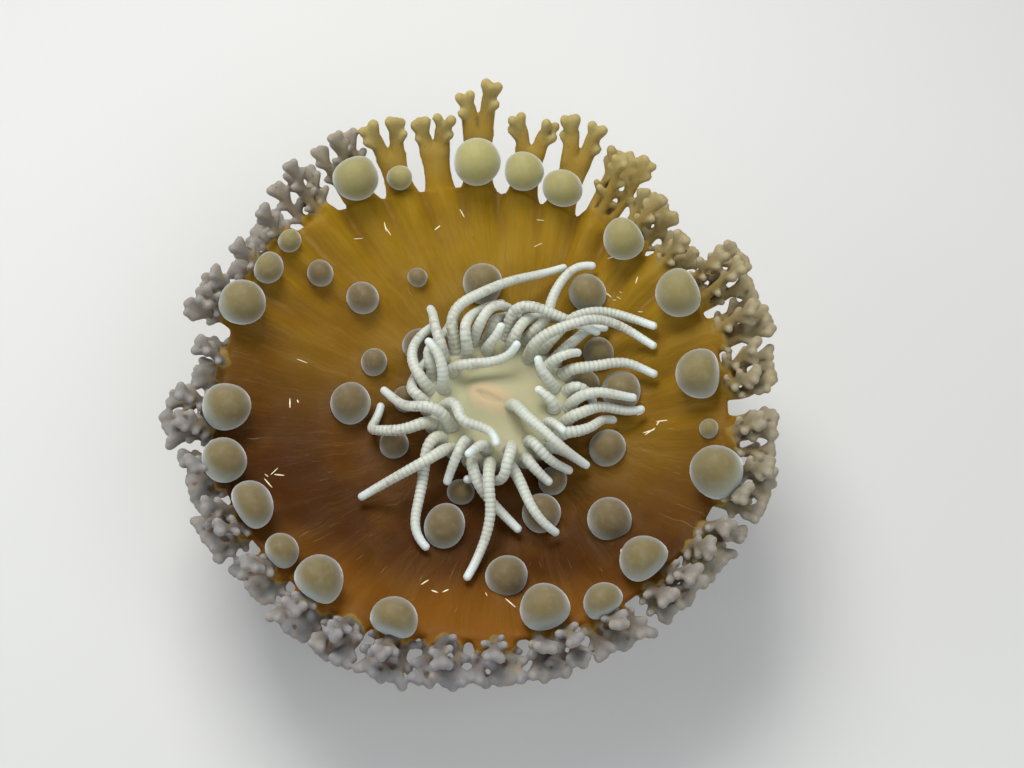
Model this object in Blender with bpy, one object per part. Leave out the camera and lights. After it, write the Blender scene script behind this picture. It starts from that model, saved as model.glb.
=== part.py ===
"""A collared sea anemone, life size, as a still museum model standing on its pedal disc.

From the floor up: a flat pedal disc, a short column, and a wide dished collar whose rim carries forked
fronds, most with a round vesicle on the upper side of the stalk. More vesicles lie loose on the dish.
In the middle a low capitulum carries the oral disc with its slit mouth, ringed by ten tentacles for each
quarter turn. All the flesh is parted by thin cuts, so that each named part is a closed solid of its own.

The origin is the centre of the pedal disc's flat underside, and +Z is up. Lengths are in millimetres and
angles in degrees, anticlockwise seen from above, until solid() turns them into Blender's metres.
"""

import math
import random

import bmesh
import bpy
import numpy as np
from mathutils import Vector

MM = 0.001  # metres in a millimetre

# Driving dimensions
GAP = 0.3  # thin cut between neighbouring parts
COLUMN_SIDES = 20

PEDAL_PROFILE = ((7.4, 0.0), (8.0, 0.5), (7.1, 1.3))  # radius, height
COLUMN_PROFILE = ((6.6, 1.6), (6.0, 3.6), (6.1, 6.2), (7.3, 8.3))
CAPITULUM_PROFILE = ((4.85, 8.6), (4.5, 10.2), (4.8, 11.1))
ORAL_CENTRE = np.array([1.7, -0.5])  # the middle of the oral disc is off the pedal disc's

DISH_FLOOR = 10.3  # height of the collar's upper face beside the capitulum
DISH_DEPTH = 2.9
DISH_POWER = 1.8
DISH_INNER_RADIUS = 5.2
COLLAR_THICK_INSIDE = 1.7
COLLAR_THICK_RIM = 1.15
RIM_RADIUS = 15.5
RIM_WAVES = ((1, 0.6, 200), (2, 0.8, 215), (3, 0.45, 285))  # waves in a turn, size, phase
RIM_LIFT_WAVES = ((3, 0.25, 60), (5, 0.2, 10))
COLLAR_CUTS = (-10, 38, 73, 108, 150, 192, 228, 267, 324)  # angles that pass between the loose vesicles
COLLAR_COLUMN_ANGLE = 13  # about this much of a turn for each strip of faces
COLLAR_SHARES = (0.0, 0.35, 0.7, 1.0)  # share of the way from the capitulum to the rim

# Loose vesicles on the dish: angle, share of the way to the rim, diameter
LOOSE_VESICLES = (
    (4, 0.43, 2.8), (15, 0.14, 2.1), (27, 0.38, 2.3), (48, 0.62, 2.7), (93, 0.37, 2.8),
    (117, 0.51, 1.4), (138, 0.17, 2.4), (138, 0.59, 2.3), (141, 0.85, 1.8), (158, 0.34, 1.9),
    (174, 0.11, 1.8), (181, 0.41, 2.9), (203, 0.20, 2.1), (250, 0.13, 1.9), (253, 0.40, 2.8),
    (278, 0.75, 2.7), (293, 0.33, 2.6), (305, 0.13, 2.0), (313, 0.65, 2.8), (337, 0.33, 2.6),
)
LOOSE_SEAT = 0.55  # height of a loose vesicle's centre over the dish, in radii

# Fronds round the rim: angle, reach beyond the rim, branches, and for a frond with a vesicle the
# vesicle's diameter and how far out its foot is
FRONDS = (
    (0, 5.4, 3, 3.3, 1.1), (11.5, 6.0, 2), (23, 6.2, 3, 3.3, 2.0), (35, 4.3, 2), (46, 5.0, 2, 3.0, 1.3),
    (57, 5.8, 2), (67.5, 5.9, 2, 2.9, 1.4), (78, 5.2, 2, 2.9, 1.4), (89.5, 6.2, 2, 3.3, 1.4),
    (99, 4.4, 2), (108.5, 4.6, 2, 1.8, 0.9), (118.5, 5.1, 2, 3.3, 1.8), (129.5, 4.7, 2),
    (140.5, 3.7, 2, 1.7, 1.1), (149.5, 3.5, 2, 2.2, 1.2), (161, 4.6, 3, 3.1, 1.7), (174, 3.2, 2),
    (187.5, 4.9, 3, 3.1, 1.3), (201, 3.9, 2, 2.9, 1.8), (213.5, 4.2, 3, 3.1, 1.2),
    (226, 3.7, 2, 2.3, 1.2), (237, 4.3, 2, 3.0, 1.4), (246, 4.8, 2), (255, 5.1, 2, 2.9, 1.9),
    (265, 4.8, 2), (275, 4.6, 2), (286, 4.7, 3, 3.1, 1.2), (297.5, 4.6, 2, 2.5, 2.1),
    (310.5, 4.4, 3, 3.1, 1.2), (323, 4.6, 3), (335.5, 5.4, 3, 3.4, 2.4), (347.5, 5.2, 2, 1.3, 1.0),
)
FROND_BASE_SHARE = 0.62  # width of the stalk's root, of the room between neighbouring fronds
FROND_RISE = 0.36  # slope at the rim
FROND_CURL = 0.085  # gain in height for each squared millimetre outwards
FORK_SHARE = 0.48  # how far out the stalk forks
BRANCH_SHARE = 0.74
BRANCH_LIFT = 0.45  # of the middle branch over its neighbours
BRANCH_WIDE = 0.95  # at most, and less where the wedge is narrow
FINGER_WIDE = 0.72
FINGER_TIP = 0.53
FINGER_LIFT = 0.5  # one finger of a pair goes up by this, and the other down
STALK_VESICLE_SEAT = 0.85  # height of a vesicle's centre over the stalk's upper face, in radii

# The oral disc and the tentacle crown round it
CROWN_INNER_RADIUS = 3.4
CROWN_CREST_RADIUS = 4.2
CROWN_OUTER_RADIUS = 5.1
CROWN_BOTTOM = 11.4
CROWN_TOP = 12.5
ORAL_DISC_TOP = 12.1
MOUTH_OFFSET = np.array([-0.9, 0.25])
MOUTH_ANGLE = -26
# Half length, half width and rise of each ring of the oral disc, from its underside to the mouth's floor
ORAL_RINGS = (
    (3.1, 3.1, -0.7), (3.1, 3.1, 0.0), (2.2, 1.9, 0.1), (1.3, 0.7, 0.5), (1.1, 0.3, 0.4), (1.0, 0.2, -0.1),
)
GROUPS = 8
# Place of each tentacle in its group: angle from the group's middle, distance from the oral centre
ROOTS = ((-15, 4.75), (-11, 3.85), (0, 4.75), (11, 3.85), (15, 4.75))
ROOT_RADIUS = 0.42
TIP_RADIUS = 0.27
TENTACLE_SIDES = 5
TENTACLE_STEP = 0.7  # between the points of a course
TENTACLE_TOLERANCE = 0.14  # a tentacle's facets cut its bends by no more than this
STOREYS = (3.2, 2.3, 1.6)  # how soon a low, a middle and a high tentacle turns over to droop
CLIMB_AT_ROOT = 84
DROOP = -22
# For each group, for each root: angle from straight outwards, turn on the way to the tip, length, storey
TENTACLES = (
    ((-12, 10, 3.6, 1), (60, 45, 3.2, 2), (-20, -10, 7.4, 1), (8, 0, 4.0, 1), (2, -25, 5.6, 1)),
    ((26, -130, 10.6, 1), (8, -112, 11.5, 2), (10, -55, 9.0, 2), (0, -98, 7.4, 1), (-62, -45, 8.6, 2)),
    ((-38, -40, 5.4, 1), (-60, -10, 2.8, 0), (-57, -72, 6.6, 2), (-44, -58, 7.2, 2), (-48, -75, 12.2, 2)),
    ((-62, 40, 5.8, 2), (-155, 50, 6.2, 1), (-85, 8, 7.4, 1), (-84, 10, 4.4, 2), (-35, -120, 6.8, 1)),
    ((-55, -80, 5.8, 1), (45, 160, 7.6, 2), (38, -160, 8.4, 0), (-25, -80, 7.6, 1), (20, 55, 9.4, 1)),
    ((-2, -45, 8.2, 2), (-5, 35, 5.0, 0), (42, 28, 7.0, 0), (-25, -20, 3.4, 2), (36, -76, 9.8, 1)),
    ((8, 38, 7.2, 1), (40, -230, 8.4, 1), (10, 30, 3.6, 1), (8, 68, 5.4, 1), (22, 40, 4.4, 0)),
    ((8, 115, 6.2, 1), (-30, 40, 3.4, 0), (22, 30, 6.8, 0), (112, 20, 2.6, 2), (-32, 115, 5.6, 1)),
)
MOUTH_TENTACLE = (-30, 0.9, (-35, 50, 9.0, 2))  # the one that grows beside the mouth: angle, place, course
SETTLE_ROUNDS = 240
SETTLE_HOLD = 0.02  # pull of each point towards where its course would have it

COLOURS = {  # base colour, roughness
    "pedal": ((0.42, 0.24, 0.12), 0.45),
    "column": ((0.36, 0.20, 0.08), 0.4),
    "collar": ((0.33, 0.16, 0.03), 0.35),
    "frond": ((0.42, 0.34, 0.24), 0.4),
    "oral_disc": ((0.50, 0.46, 0.32), 0.3),
    "tentacle": ((0.72, 0.69, 0.64), 0.35),
}


# Layout: where the collar's surface, the rim and the vesicles are


def towards(angle):
    """The level unit vector at an angle, as an array of x and y, for one angle or an array of them."""
    turn = np.radians(angle)
    return np.stack([np.cos(turn), np.sin(turn)], axis=-1)


def waves(angle, terms):
    """The sum of the waves round a turn that the terms give, each as waves in a turn, size and phase."""
    return sum(size * np.cos(np.radians(count * angle - phase)) for count, size, phase in terms)


def rim_radius(angle):
    """Distance of the collar's rim from the body's axis."""
    return RIM_RADIUS + waves(angle, RIM_WAVES)


def collar_point(angle, share, below=0.0):
    """A point on the collar's upper face, or below it by a share of the thickness."""
    inner = ORAL_CENTRE + DISH_INNER_RADIUS * towards(angle)
    outer = rim_radius(angle) * towards(angle)
    level = inner * (1 - share) + outer * share
    height = DISH_FLOOR + DISH_DEPTH * share**DISH_POWER + waves(angle, RIM_LIFT_WAVES) * share**2
    thick = COLLAR_THICK_INSIDE + (COLLAR_THICK_RIM - COLLAR_THICK_INSIDE) * share
    return Vector((*level, height - below * thick))


def ground_heights(points):
    """Height of what the tentacles lie over, under each of an array of points: the crown or the dish."""
    share = np.full(len(points), 0.5)
    for _ in range(8):
        offset = points[:, :2] - (1 - share)[:, None] * ORAL_CENTRE
        angle = np.degrees(np.arctan2(offset[:, 1], offset[:, 0]))
        reach = np.hypot(offset[:, 0], offset[:, 1]) - DISH_INNER_RADIUS
        share = np.clip(reach / (rim_radius(angle) - DISH_INNER_RADIUS), 0.0, 1.0)
    dish = DISH_FLOOR + DISH_DEPTH * share**DISH_POWER + waves(angle, RIM_LIFT_WAVES) * share**2
    from_middle = np.linalg.norm(points[:, :2] - ORAL_CENTRE, axis=1)
    return np.where(from_middle < CROWN_OUTER_RADIUS + GAP + ROOT_RADIUS, CROWN_TOP + 0.15, dish)


def loose_vesicles():
    """The centre and radius of each loose vesicle."""
    balls = []
    for angle, share, diameter in LOOSE_VESICLES:
        centre = collar_point(angle, share) + Vector((0, 0, LOOSE_SEAT * diameter / 2))
        balls.append((centre, diameter / 2))
    return balls


# Shapes


def loft(rings):
    """A closed mesh through rings of points of one count, with a flat end on the first and the last."""
    bm = bmesh.new()
    loops = [[bm.verts.new(point) for point in ring] for ring in rings]
    count = len(loops[0])
    for low, high in zip(loops, loops[1:]):
        for i in range(count):
            j = (i + 1) % count
            bm.faces.new((low[i], low[j], high[j], high[i]))
    bm.faces.new(reversed(loops[0]))
    bm.faces.new(loops[-1])
    bmesh.ops.recalc_face_normals(bm, faces=bm.faces)
    return bm


def slab(upper, lower):
    """A closed block between two grids of points of one size."""
    bm = bmesh.new()
    top = [[bm.verts.new(point) for point in row] for row in upper]
    bottom = [[bm.verts.new(point) for point in row] for row in lower]
    rows, columns = len(top), len(top[0])
    for i in range(rows - 1):
        for j in range(columns - 1):
            for grid in (top, bottom):
                bm.faces.new((grid[i][j], grid[i][j + 1], grid[i + 1][j + 1], grid[i + 1][j]))
        for j in (0, columns - 1):
            bm.faces.new((top[i][j], top[i + 1][j], bottom[i + 1][j], bottom[i][j]))
    for j in range(columns - 1):
        for i in (0, rows - 1):
            bm.faces.new((top[i][j], top[i][j + 1], bottom[i][j + 1], bottom[i][j]))
    bmesh.ops.recalc_face_normals(bm, faces=bm.faces)
    return bm


def ball(centre, radius, axis=Vector((0, 0, 1)), sides=7, bands=4):
    """A round vesicle, as bands of faces about its axis."""
    across = axis.orthogonal().normalized()
    beside = axis.cross(across)
    rings = []
    for band in range(bands):
        tilt = math.pi * (band + 0.5) / bands
        spokes = [2 * math.pi * k / sides for k in range(sides)]
        middle = centre - axis * (radius * math.cos(tilt))
        reach = radius * math.sin(tilt)
        rings.append([middle + reach * (math.cos(a) * across + math.sin(a) * beside) for a in spokes])
    return loft(rings)


def turned(profile, start=0.0, end=0.0):
    """A round solid through (radius, height) pairs.

    Its middle goes from one share of the oral centre's offset at the bottom to another at the top.
    """
    rings = []
    for place, (radius, height) in enumerate(profile):
        middle = ORAL_CENTRE * (start + (end - start) * place / (len(profile) - 1))
        spokes = towards(np.arange(COLUMN_SIDES) * 360 / COLUMN_SIDES) * radius + middle
        rings.append([Vector((x, y, height)) for x, y in spokes])
    return loft(rings)


# Objects


def material(name):
    """The plain finish of a kind of part."""
    found = bpy.data.materials.get(name)
    if found:
        return found
    colour, roughness = COLOURS[name]
    made = bpy.data.materials.new(name)
    made.use_nodes = True
    shader = made.node_tree.nodes["Principled BSDF"]
    shader.inputs["Base Color"].default_value = (*colour, 1)
    shader.inputs["Roughness"].default_value = roughness
    return made


def solid(name, bm, kind):
    """A named object in metres from a mesh in millimetres."""
    bmesh.ops.scale(bm, vec=(MM, MM, MM), verts=bm.verts)
    mesh = bpy.data.meshes.new(name)
    bm.to_mesh(mesh)
    bm.free()
    mesh.materials.append(material(kind))
    made = bpy.data.objects.new(name, mesh)
    bpy.context.scene.collection.objects.link(made)
    mesh.shade_smooth()
    mesh.set_sharp_from_angle(angle=math.radians(50))
    return made


def fuse(body, growths):
    """Joins growths to the body they grow from, each by a Boolean union that is applied at once."""
    for growth in growths:
        union = body.modifiers.new("union", "BOOLEAN")
        union.operation = "UNION"
        union.solver = "EXACT"
        union.object = growth
        bpy.context.view_layer.update()
        graph = bpy.context.evaluated_depsgraph_get()
        joined = bpy.data.meshes.new_from_object(body.evaluated_get(graph))
        body.modifiers.clear()
        body.data = joined
        bpy.data.objects.remove(growth)
    return body


# Foot, column and middle


def foot_and_column():
    """The pedal disc, flat on the floor, the column on it and the capitulum in the collar's middle."""
    solid("pedal_disc", turned(PEDAL_PROFILE), "pedal")
    solid("column", turned(COLUMN_PROFILE, 0.0, 0.5), "column")
    solid("capitulum", turned(CAPITULUM_PROFILE, 1.0, 1.0), "column")


def oral_disc():
    """The oral disc, whose lips rise round the slit of the mouth."""
    along, beside = towards(MOUTH_ANGLE), towards(MOUTH_ANGLE + 90)
    spokes = towards(np.arange(12) * 360 / 12)
    rings = []
    outer, inner = ORAL_RINGS[0][0], ORAL_RINGS[-1][0]
    for half_long, half_wide, rise in ORAL_RINGS:
        inward = (outer - half_long) / (outer - inner)
        middle = ORAL_CENTRE + MOUTH_OFFSET * inward
        ring = middle + spokes[:, :1] * half_long * along + spokes[:, 1:] * half_wide * beside
        rings.append([Vector((x, y, ORAL_DISC_TOP + rise)) for x, y in ring])
    return solid("oral_disc", loft(rings), "oral_disc")


# Collar


def collar_sector(number, start, end):
    """One sector of the dished collar, with the loose vesicles that grow from it."""
    columns = max(2, round((end - start) / COLLAR_COLUMN_ANGLE))
    upper, lower = [], []
    for share in COLLAR_SHARES:
        radius = DISH_INNER_RADIUS * (1 - share) + rim_radius((start + end) / 2) * share
        trim = math.degrees(GAP / 2 / radius)  # keeps the cut between sectors of one width
        angles = np.linspace(start + trim, end - trim, columns + 1)
        upper.append([collar_point(angle, share) for angle in angles])
        lower.append([collar_point(angle, share, below=1) for angle in angles])
    sector = solid(f"collar_{number}", slab(upper, lower), "collar")
    growths = []
    for (angle, _, _), (centre, radius) in zip(LOOSE_VESICLES, loose_vesicles()):
        if start < angle < end or start < angle - 360 < end:
            growths.append(solid("vesicle", ball(centre, radius), "frond"))
    return fuse(sector, growths)


def collar():
    """All sectors of the collar."""
    ends = (*COLLAR_CUTS[1:], COLLAR_CUTS[0] + 360)
    for number, (start, end) in enumerate(zip(COLLAR_CUTS, ends), 1):
        collar_sector(number, start, end)


# Fronds


class Frond:
    """A forked frond, grown outwards from a rectangular root by drawing out and splitting its end face.

    It keeps to its own wedge of the turn: places across it go from -1 to 1 of the wedge's half width.
    """

    def __init__(self, angle, reach, branches, half_angle, seed):
        self.bm = bmesh.new()
        self.angle = angle
        self.outwards = Vector((*towards(angle), 0))
        self.clockwise = Vector((self.outwards.y, -self.outwards.x, 0))
        self.reach = reach
        self.branches = branches
        self.rim = rim_radius(angle)
        self.spread = math.tan(math.radians(half_angle))
        self.draws = random.Random(seed)
        self.root = collar_point(angle, 1.0, below=0.5) + self.outwards * GAP

    def place(self, out, across=0.0, lift=0.0):
        """A point of the frond, from its distance beyond the rim and its place across the wedge."""
        room = (self.rim + out) * self.spread - GAP / 2
        height = FROND_RISE * out + FROND_CURL * out * out + lift
        return self.root + self.outwards * out + self.clockwise * (across * room) + Vector((0, 0, height))

    def section(self, centre, heading, wide, thick):
        """The vertices of a rectangle facing a heading: low left, low right, high right, high left."""
        across = heading.cross(Vector((0, 0, 1))).normalized() * (wide / 2)
        raised = across.cross(heading).normalized() * (thick / 2)
        corners = ((-1, -1), (1, -1), (1, 1), (-1, 1))
        return [self.bm.verts.new(centre + a * across + b * raised) for a, b in corners]

    def rim_section(self, half_angle):
        """The vertices of the root, which follows the rim's curve across the cut, in section()'s order."""
        corners = ((1, 1), (-1, 1), (-1, 0), (1, 0))
        points = (collar_point(self.angle + side * half_angle, 1.0, below) for side, below in corners)
        return [self.bm.verts.new(point + self.outwards * GAP) for point in points]

    def draw_out(self, end, start, centre, wide, thick):
        """Draws an end out to a rectangle about a new centre, and returns that end's vertices."""
        new = self.section(centre, (centre - start).normalized(), wide, thick)
        for i in range(4):
            j = (i + 1) % 4
            self.bm.faces.new((end[i], end[j], new[j], new[i]))
        return new

    def split(self, end, count):
        """Cuts an open end into strips side by side, and returns the vertices of each."""
        low_left, low_right, high_right, high_left = end
        lows, highs = [low_left], [high_left]
        for k in range(1, count):
            lower = self.bm.edges.get((lows[-1], low_right))
            upper = self.bm.edges.get((highs[-1], high_right))
            share = 1 / (count + 1 - k)
            lows.append(bmesh.utils.edge_split(lower, lows[-1], share)[1])
            highs.append(bmesh.utils.edge_split(upper, highs[-1], share)[1])
        lows.append(low_right)
        highs.append(high_right)
        return [(lows[k], lows[k + 1], highs[k + 1], highs[k]) for k in range(count)]

    def grow(self):
        """Grows the whole frond and returns its mesh."""
        base_wide = 2 * self.rim * self.spread * FROND_BASE_SHARE
        root = self.rim_section(math.degrees(base_wide / 2 / self.rim))
        self.bm.faces.new(root)
        fork = self.place(FORK_SHARE * self.reach)
        end = self.draw_out(root, self.root, fork, FINGER_WIDE * self.branches, COLLAR_THICK_RIM * 0.85)
        for k, strip in enumerate(self.split(end, self.branches)):
            self.grow_branch(strip, fork, (2 * k + 1) / self.branches - 1, lifted=k == 1)
        bmesh.ops.recalc_face_normals(self.bm, faces=self.bm.faces)
        return self.bm

    def grow_branch(self, end, fork, across, lifted):
        """Grows one branch from its strip of the fork, and its pair of fingers."""
        start = fork + self.clockwise * (across * self.branches * FINGER_WIDE / 2)
        out = self.reach * BRANCH_SHARE * self.draws.uniform(0.92, 1.08)
        lift = BRANCH_LIFT if lifted else 0.0
        tip = self.place(out, across * 0.94, lift)
        spacing = 2 * ((self.rim + out) * self.spread - GAP / 2) / self.branches
        wide = min(BRANCH_WIDE, 0.8 * spacing)
        end = self.draw_out(end, start, tip, wide, COLLAR_THICK_RIM * 0.7)
        for side, strip in zip((-1, 1), self.split(end, 2)):
            finger_start = tip + self.clockwise * (side * wide / 4)
            finger_out = self.reach * self.draws.uniform(0.9, 1.03)
            finger_tip = self.place(finger_out, across * 0.94 + side * 0.5 / self.branches,
                                    lift - side * FINGER_LIFT)
            self.bm.faces.new(self.draw_out(strip, finger_start, finger_tip, FINGER_TIP, FINGER_TIP))


def fronds():
    """All fronds, with the vesicle on the upper side of each stalk that has one."""
    angles = [row[0] for row in FRONDS]
    for number, (angle, reach, branches, *vesicle) in enumerate(FRONDS):
        before = angles[number - 1] - (360 if number == 0 else 0)
        after = angles[(number + 1) % len(angles)] + (360 if number == len(angles) - 1 else 0)
        grown = Frond(angle, reach, branches, min(angle - before, after - angle) / 2, number)
        frond = solid(f"frond_{number + 1:02d}", grown.grow(), "frond")
        if vesicle:
            diameter, out = vesicle
            foot = grown.place(out)
            raised = grown.clockwise.cross((foot - grown.root).normalized())
            centre = foot + raised * (diameter / 2 * STALK_VESICLE_SEAT + 0.45)
            fuse(frond, [solid("vesicle", ball(centre, diameter / 2, raised), "frond")])


# Tentacles


def tentacle_course(angle, distance, base, lean, turn, length, storey):
    """The points of one tentacle before it settles: it climbs, arches over and droops as it turns."""
    steps = max(5, round(length / TENTACLE_STEP))
    point = np.array([*(ORAL_CENTRE + distance * towards(angle)), base])
    course = [point]
    for step in range(steps):
        share = (step + 0.5) / steps
        heading = towards(angle + lean + turn * share)
        ease = min(1.0, share * STOREYS[storey])
        climb = math.radians(CLIMB_AT_ROOT + (DROOP - CLIMB_AT_ROOT) * ease * (2 - ease))
        point = point + length / steps * np.array([*(heading * math.cos(climb)), math.sin(climb)])
        course.append(point)
    return np.array(course)


def tentacle_radii(count):
    """The tentacle's radius at each point, from the root to the blunt tip."""
    return ROOT_RADIUS + (TIP_RADIUS - ROOT_RADIUS) * np.linspace(0, 1, count)


def settle(courses):
    """Eases the courses apart, and off what lies under them, with their roots held where they grow."""
    ids = np.concatenate([np.full(len(course), k) for k, course in enumerate(courses)])
    along = np.concatenate([np.arange(len(course)) for course in courses])
    radii = np.concatenate([tentacle_radii(len(course)) for course in courses])
    meant = np.concatenate(courses)
    points = meant.copy()
    free = (along > 0)[:, None]
    wanted = radii[:, None] + radii[None] + GAP + 0.14
    other = (ids[:, None] != ids[None]) & ((along[:, None] > 0) | (along[None] > 0))
    links = np.flatnonzero(ids[:-1] == ids[1:])
    spans = np.linalg.norm(points[links + 1] - points[links], axis=1)[:, None]
    bends = np.flatnonzero(ids[:-2] == ids[2:]) + 1
    for round_number in range(SETTLE_ROUNDS):
        apart = points[:, None] - points[None]
        distance = np.linalg.norm(apart, axis=2) + 1e-9
        short = np.where(other, np.clip(wanted - distance, 0, None), 0)
        move = (apart / distance[..., None] * short[..., None] * 0.5).sum(axis=1)
        for centre, radius in loose_vesicles():
            away = points - np.array(centre)
            far = np.linalg.norm(away, axis=1) + 1e-9
            move += away / far[:, None] * np.clip(radius + radii + GAP + 0.1 - far, 0, None)[:, None]
        points = points + np.clip(move, -0.25, 0.25) * free
        calm = max(0.0, 0.85 - round_number / SETTLE_ROUNDS)  # the last rounds only part them
        middles = (points[bends - 1] + points[bends + 1]) / 2
        points[bends] += (middles - points[bends]) * 0.3 * calm * free[bends]
        points += (meant - points) * SETTLE_HOLD * calm * free
        for _ in range(3):  # keeps the points of a course at one spacing
            steps = points[links + 1] - points[links]
            excess = steps * (1 - spans / (np.linalg.norm(steps, axis=1, keepdims=True) + 1e-9)) * 0.45
            points[links] += excess * free[links]
            points[links + 1] -= excess
        floor = ground_heights(points) + (radii + GAP + 0.1) * np.minimum(along / 2, 1)
        points[:, 2] = np.where(free[:, 0], np.maximum(points[:, 2], floor), points[:, 2])
    return [points[ids == k] for k in range(len(courses))]


def needed_points(course):
    """The numbers of the points that a course can't do without, as it bends there."""
    needed = [0]
    while needed[-1] < len(course) - 1:
        start = needed[-1]
        end = start + 1
        for ahead in range(start + 2, min(start + 5, len(course))):
            chord = course[ahead] - course[start]
            off = np.cross(course[start + 1:ahead] - course[start], chord) / np.linalg.norm(chord)
            if np.linalg.norm(off, axis=1).max() > TENTACLE_TOLERANCE:
                break
            end = ahead
        needed.append(end)
    return needed


def tube(course):
    """A tentacle as a tapered tube with a blunt tip."""
    needed = needed_points(course)
    radii = tentacle_radii(len(course))
    side = Vector((0, 0, 1))
    rings = []
    for place, index in enumerate(needed):
        before, after = needed[max(place - 1, 0)], needed[min(place + 1, len(needed) - 1)]
        heading = Vector(course[after] - course[before]).normalized()
        side = (side - heading * side.dot(heading)).normalized()
        beside = heading.cross(side)
        spokes = [2 * math.pi * k / TENTACLE_SIDES for k in range(TENTACLE_SIDES)]
        reach = float(radii[index])
        rings.append([Vector(course[index]) + reach * (math.cos(a) * side + math.sin(a) * beside)
                      for a in spokes])
    return loft(rings)


def crown_block(middle):
    """The piece of the crown that a group of tentacles grows from."""
    upper, lower = [], []
    radii = (CROWN_INNER_RADIUS, CROWN_CREST_RADIUS, CROWN_OUTER_RADIUS)
    for radius, top in zip(radii, (CROWN_TOP - 0.35, CROWN_TOP, CROWN_TOP - 0.5)):
        half = 180 / GROUPS - math.degrees(GAP / 2 / radius)
        spokes = ORAL_CENTRE + radius * towards(np.linspace(middle - half, middle + half, 4))
        upper.append([Vector((x, y, top)) for x, y in spokes])
        lower.append([Vector((x, y, CROWN_BOTTOM)) for x, y in spokes])
    return slab(upper, lower)


def tentacles():
    """The groups of tentacles round the oral disc, each grown from its piece of the crown."""
    middles = [(group + 0.5) * 360 / GROUPS for group in range(GROUPS)]
    courses = [
        tentacle_course(middle + offset, distance, CROWN_TOP - 0.35, *row)
        for middle, rows in zip(middles, TENTACLES)
        for (offset, distance), row in zip(ROOTS, rows)
    ]
    angle, distance, row = MOUTH_TENTACLE
    courses.append(tentacle_course(angle, distance, ORAL_DISC_TOP - 0.2, *row))
    courses = settle(courses)
    for group, middle in enumerate(middles):
        block = solid(f"tentacles_{group + 1}", crown_block(middle), "tentacle")
        grown = courses[group * len(ROOTS):(group + 1) * len(ROOTS)]
        fuse(block, [solid("tentacle", tube(course), "tentacle") for course in grown])
    fuse(oral_disc(), [solid("tentacle", tube(courses[-1]), "tentacle")])


def main():
    """Clears the scene and builds every part."""
    for old in list(bpy.data.objects):
        bpy.data.objects.remove(old)
    foot_and_column()
    collar()
    fronds()
    tentacles()


main()
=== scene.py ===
"""The looks of a life-size collared sea anemone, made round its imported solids.

One skin covers the foot, column, collar, fronds and oral disc with no seam. The vesicles sit on it, and
the ringed tentacles grow from the crown round the mouth. Lengths are in millimetres and angles in degrees,
anticlockwise seen from above, until a mesh is finished: then it is in metres, as the solids are.
"""

import logging
import math
import random
from dataclasses import dataclass, field
from enum import Enum
from typing import Any, Iterable, Sequence

import bmesh
import bpy
import numpy as np
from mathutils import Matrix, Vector, noise
from mathutils.bvhtree import BVHTree


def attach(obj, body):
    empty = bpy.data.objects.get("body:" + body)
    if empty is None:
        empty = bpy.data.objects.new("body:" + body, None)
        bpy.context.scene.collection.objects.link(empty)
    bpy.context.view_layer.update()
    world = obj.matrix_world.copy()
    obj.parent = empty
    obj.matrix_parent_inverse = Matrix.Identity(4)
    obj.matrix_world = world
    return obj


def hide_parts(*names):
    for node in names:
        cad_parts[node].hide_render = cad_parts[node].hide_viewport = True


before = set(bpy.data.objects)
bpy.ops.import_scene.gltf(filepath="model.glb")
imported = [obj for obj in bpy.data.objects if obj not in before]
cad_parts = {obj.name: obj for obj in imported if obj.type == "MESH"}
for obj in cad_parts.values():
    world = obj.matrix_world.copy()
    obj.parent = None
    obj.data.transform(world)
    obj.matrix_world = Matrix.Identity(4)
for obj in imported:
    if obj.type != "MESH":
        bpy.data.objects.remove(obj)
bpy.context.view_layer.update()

MM = 0.001  # metres in a millimetre
TO_METRES = ((MM, 0, 0, 0), (0, MM, 0, 0), (0, 0, MM, 0), (0, 0, 0, 1))
BODY = "root"
Colour = tuple[float, float, float]

logging.basicConfig(level=logging.INFO, format="%(message)s")
log = logging.getLogger("anemone")


# Materials


class Value:
    """A number of a material's tree. Arithmetic on it adds Math nodes."""

    def __init__(self, shader: "Shader", socket: bpy.types.NodeSocket) -> None:
        """Wraps a socket of a shader's tree.

        Args:
            shader: The shader that the socket belongs to.
            socket: The output socket that holds the number.
        """
        self.shader = shader
        self.socket = socket

    def _math(self, operation: str, *operands: Any) -> "Value":
        """Adds one Math node.

        Args:
            operation: The Math node's operation.
            operands: Its inputs in order, as values or plain numbers.

        Returns:
            The node's result.
        """
        inputs = {place: operand for place, operand in enumerate(operands)}
        node = self.shader.add("ShaderNodeMath", {"operation": operation}, inputs)
        return Value(self.shader, node.outputs[0])

    def __add__(self, other: Any) -> "Value":
        """Adds another value or number."""
        return self._math("ADD", self, other)

    __radd__ = __add__

    def __sub__(self, other: Any) -> "Value":
        """Takes another value or number away."""
        return self._math("SUBTRACT", self, other)

    def __rsub__(self, other: Any) -> "Value":
        """Is taken away from a number."""
        return self._math("SUBTRACT", other, self)

    def __mul__(self, other: Any) -> "Value":
        """Multiplies by another value or number."""
        return self._math("MULTIPLY", self, other)

    __rmul__ = __mul__

    def __pow__(self, other: Any) -> "Value":
        """Raises to a power."""
        return self._math("POWER", self, other)

    def clamped(self) -> "Value":
        """The value kept between 0 and 1."""
        return self._math("MINIMUM", self._math("MAXIMUM", self, 0.0), 1.0)


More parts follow.
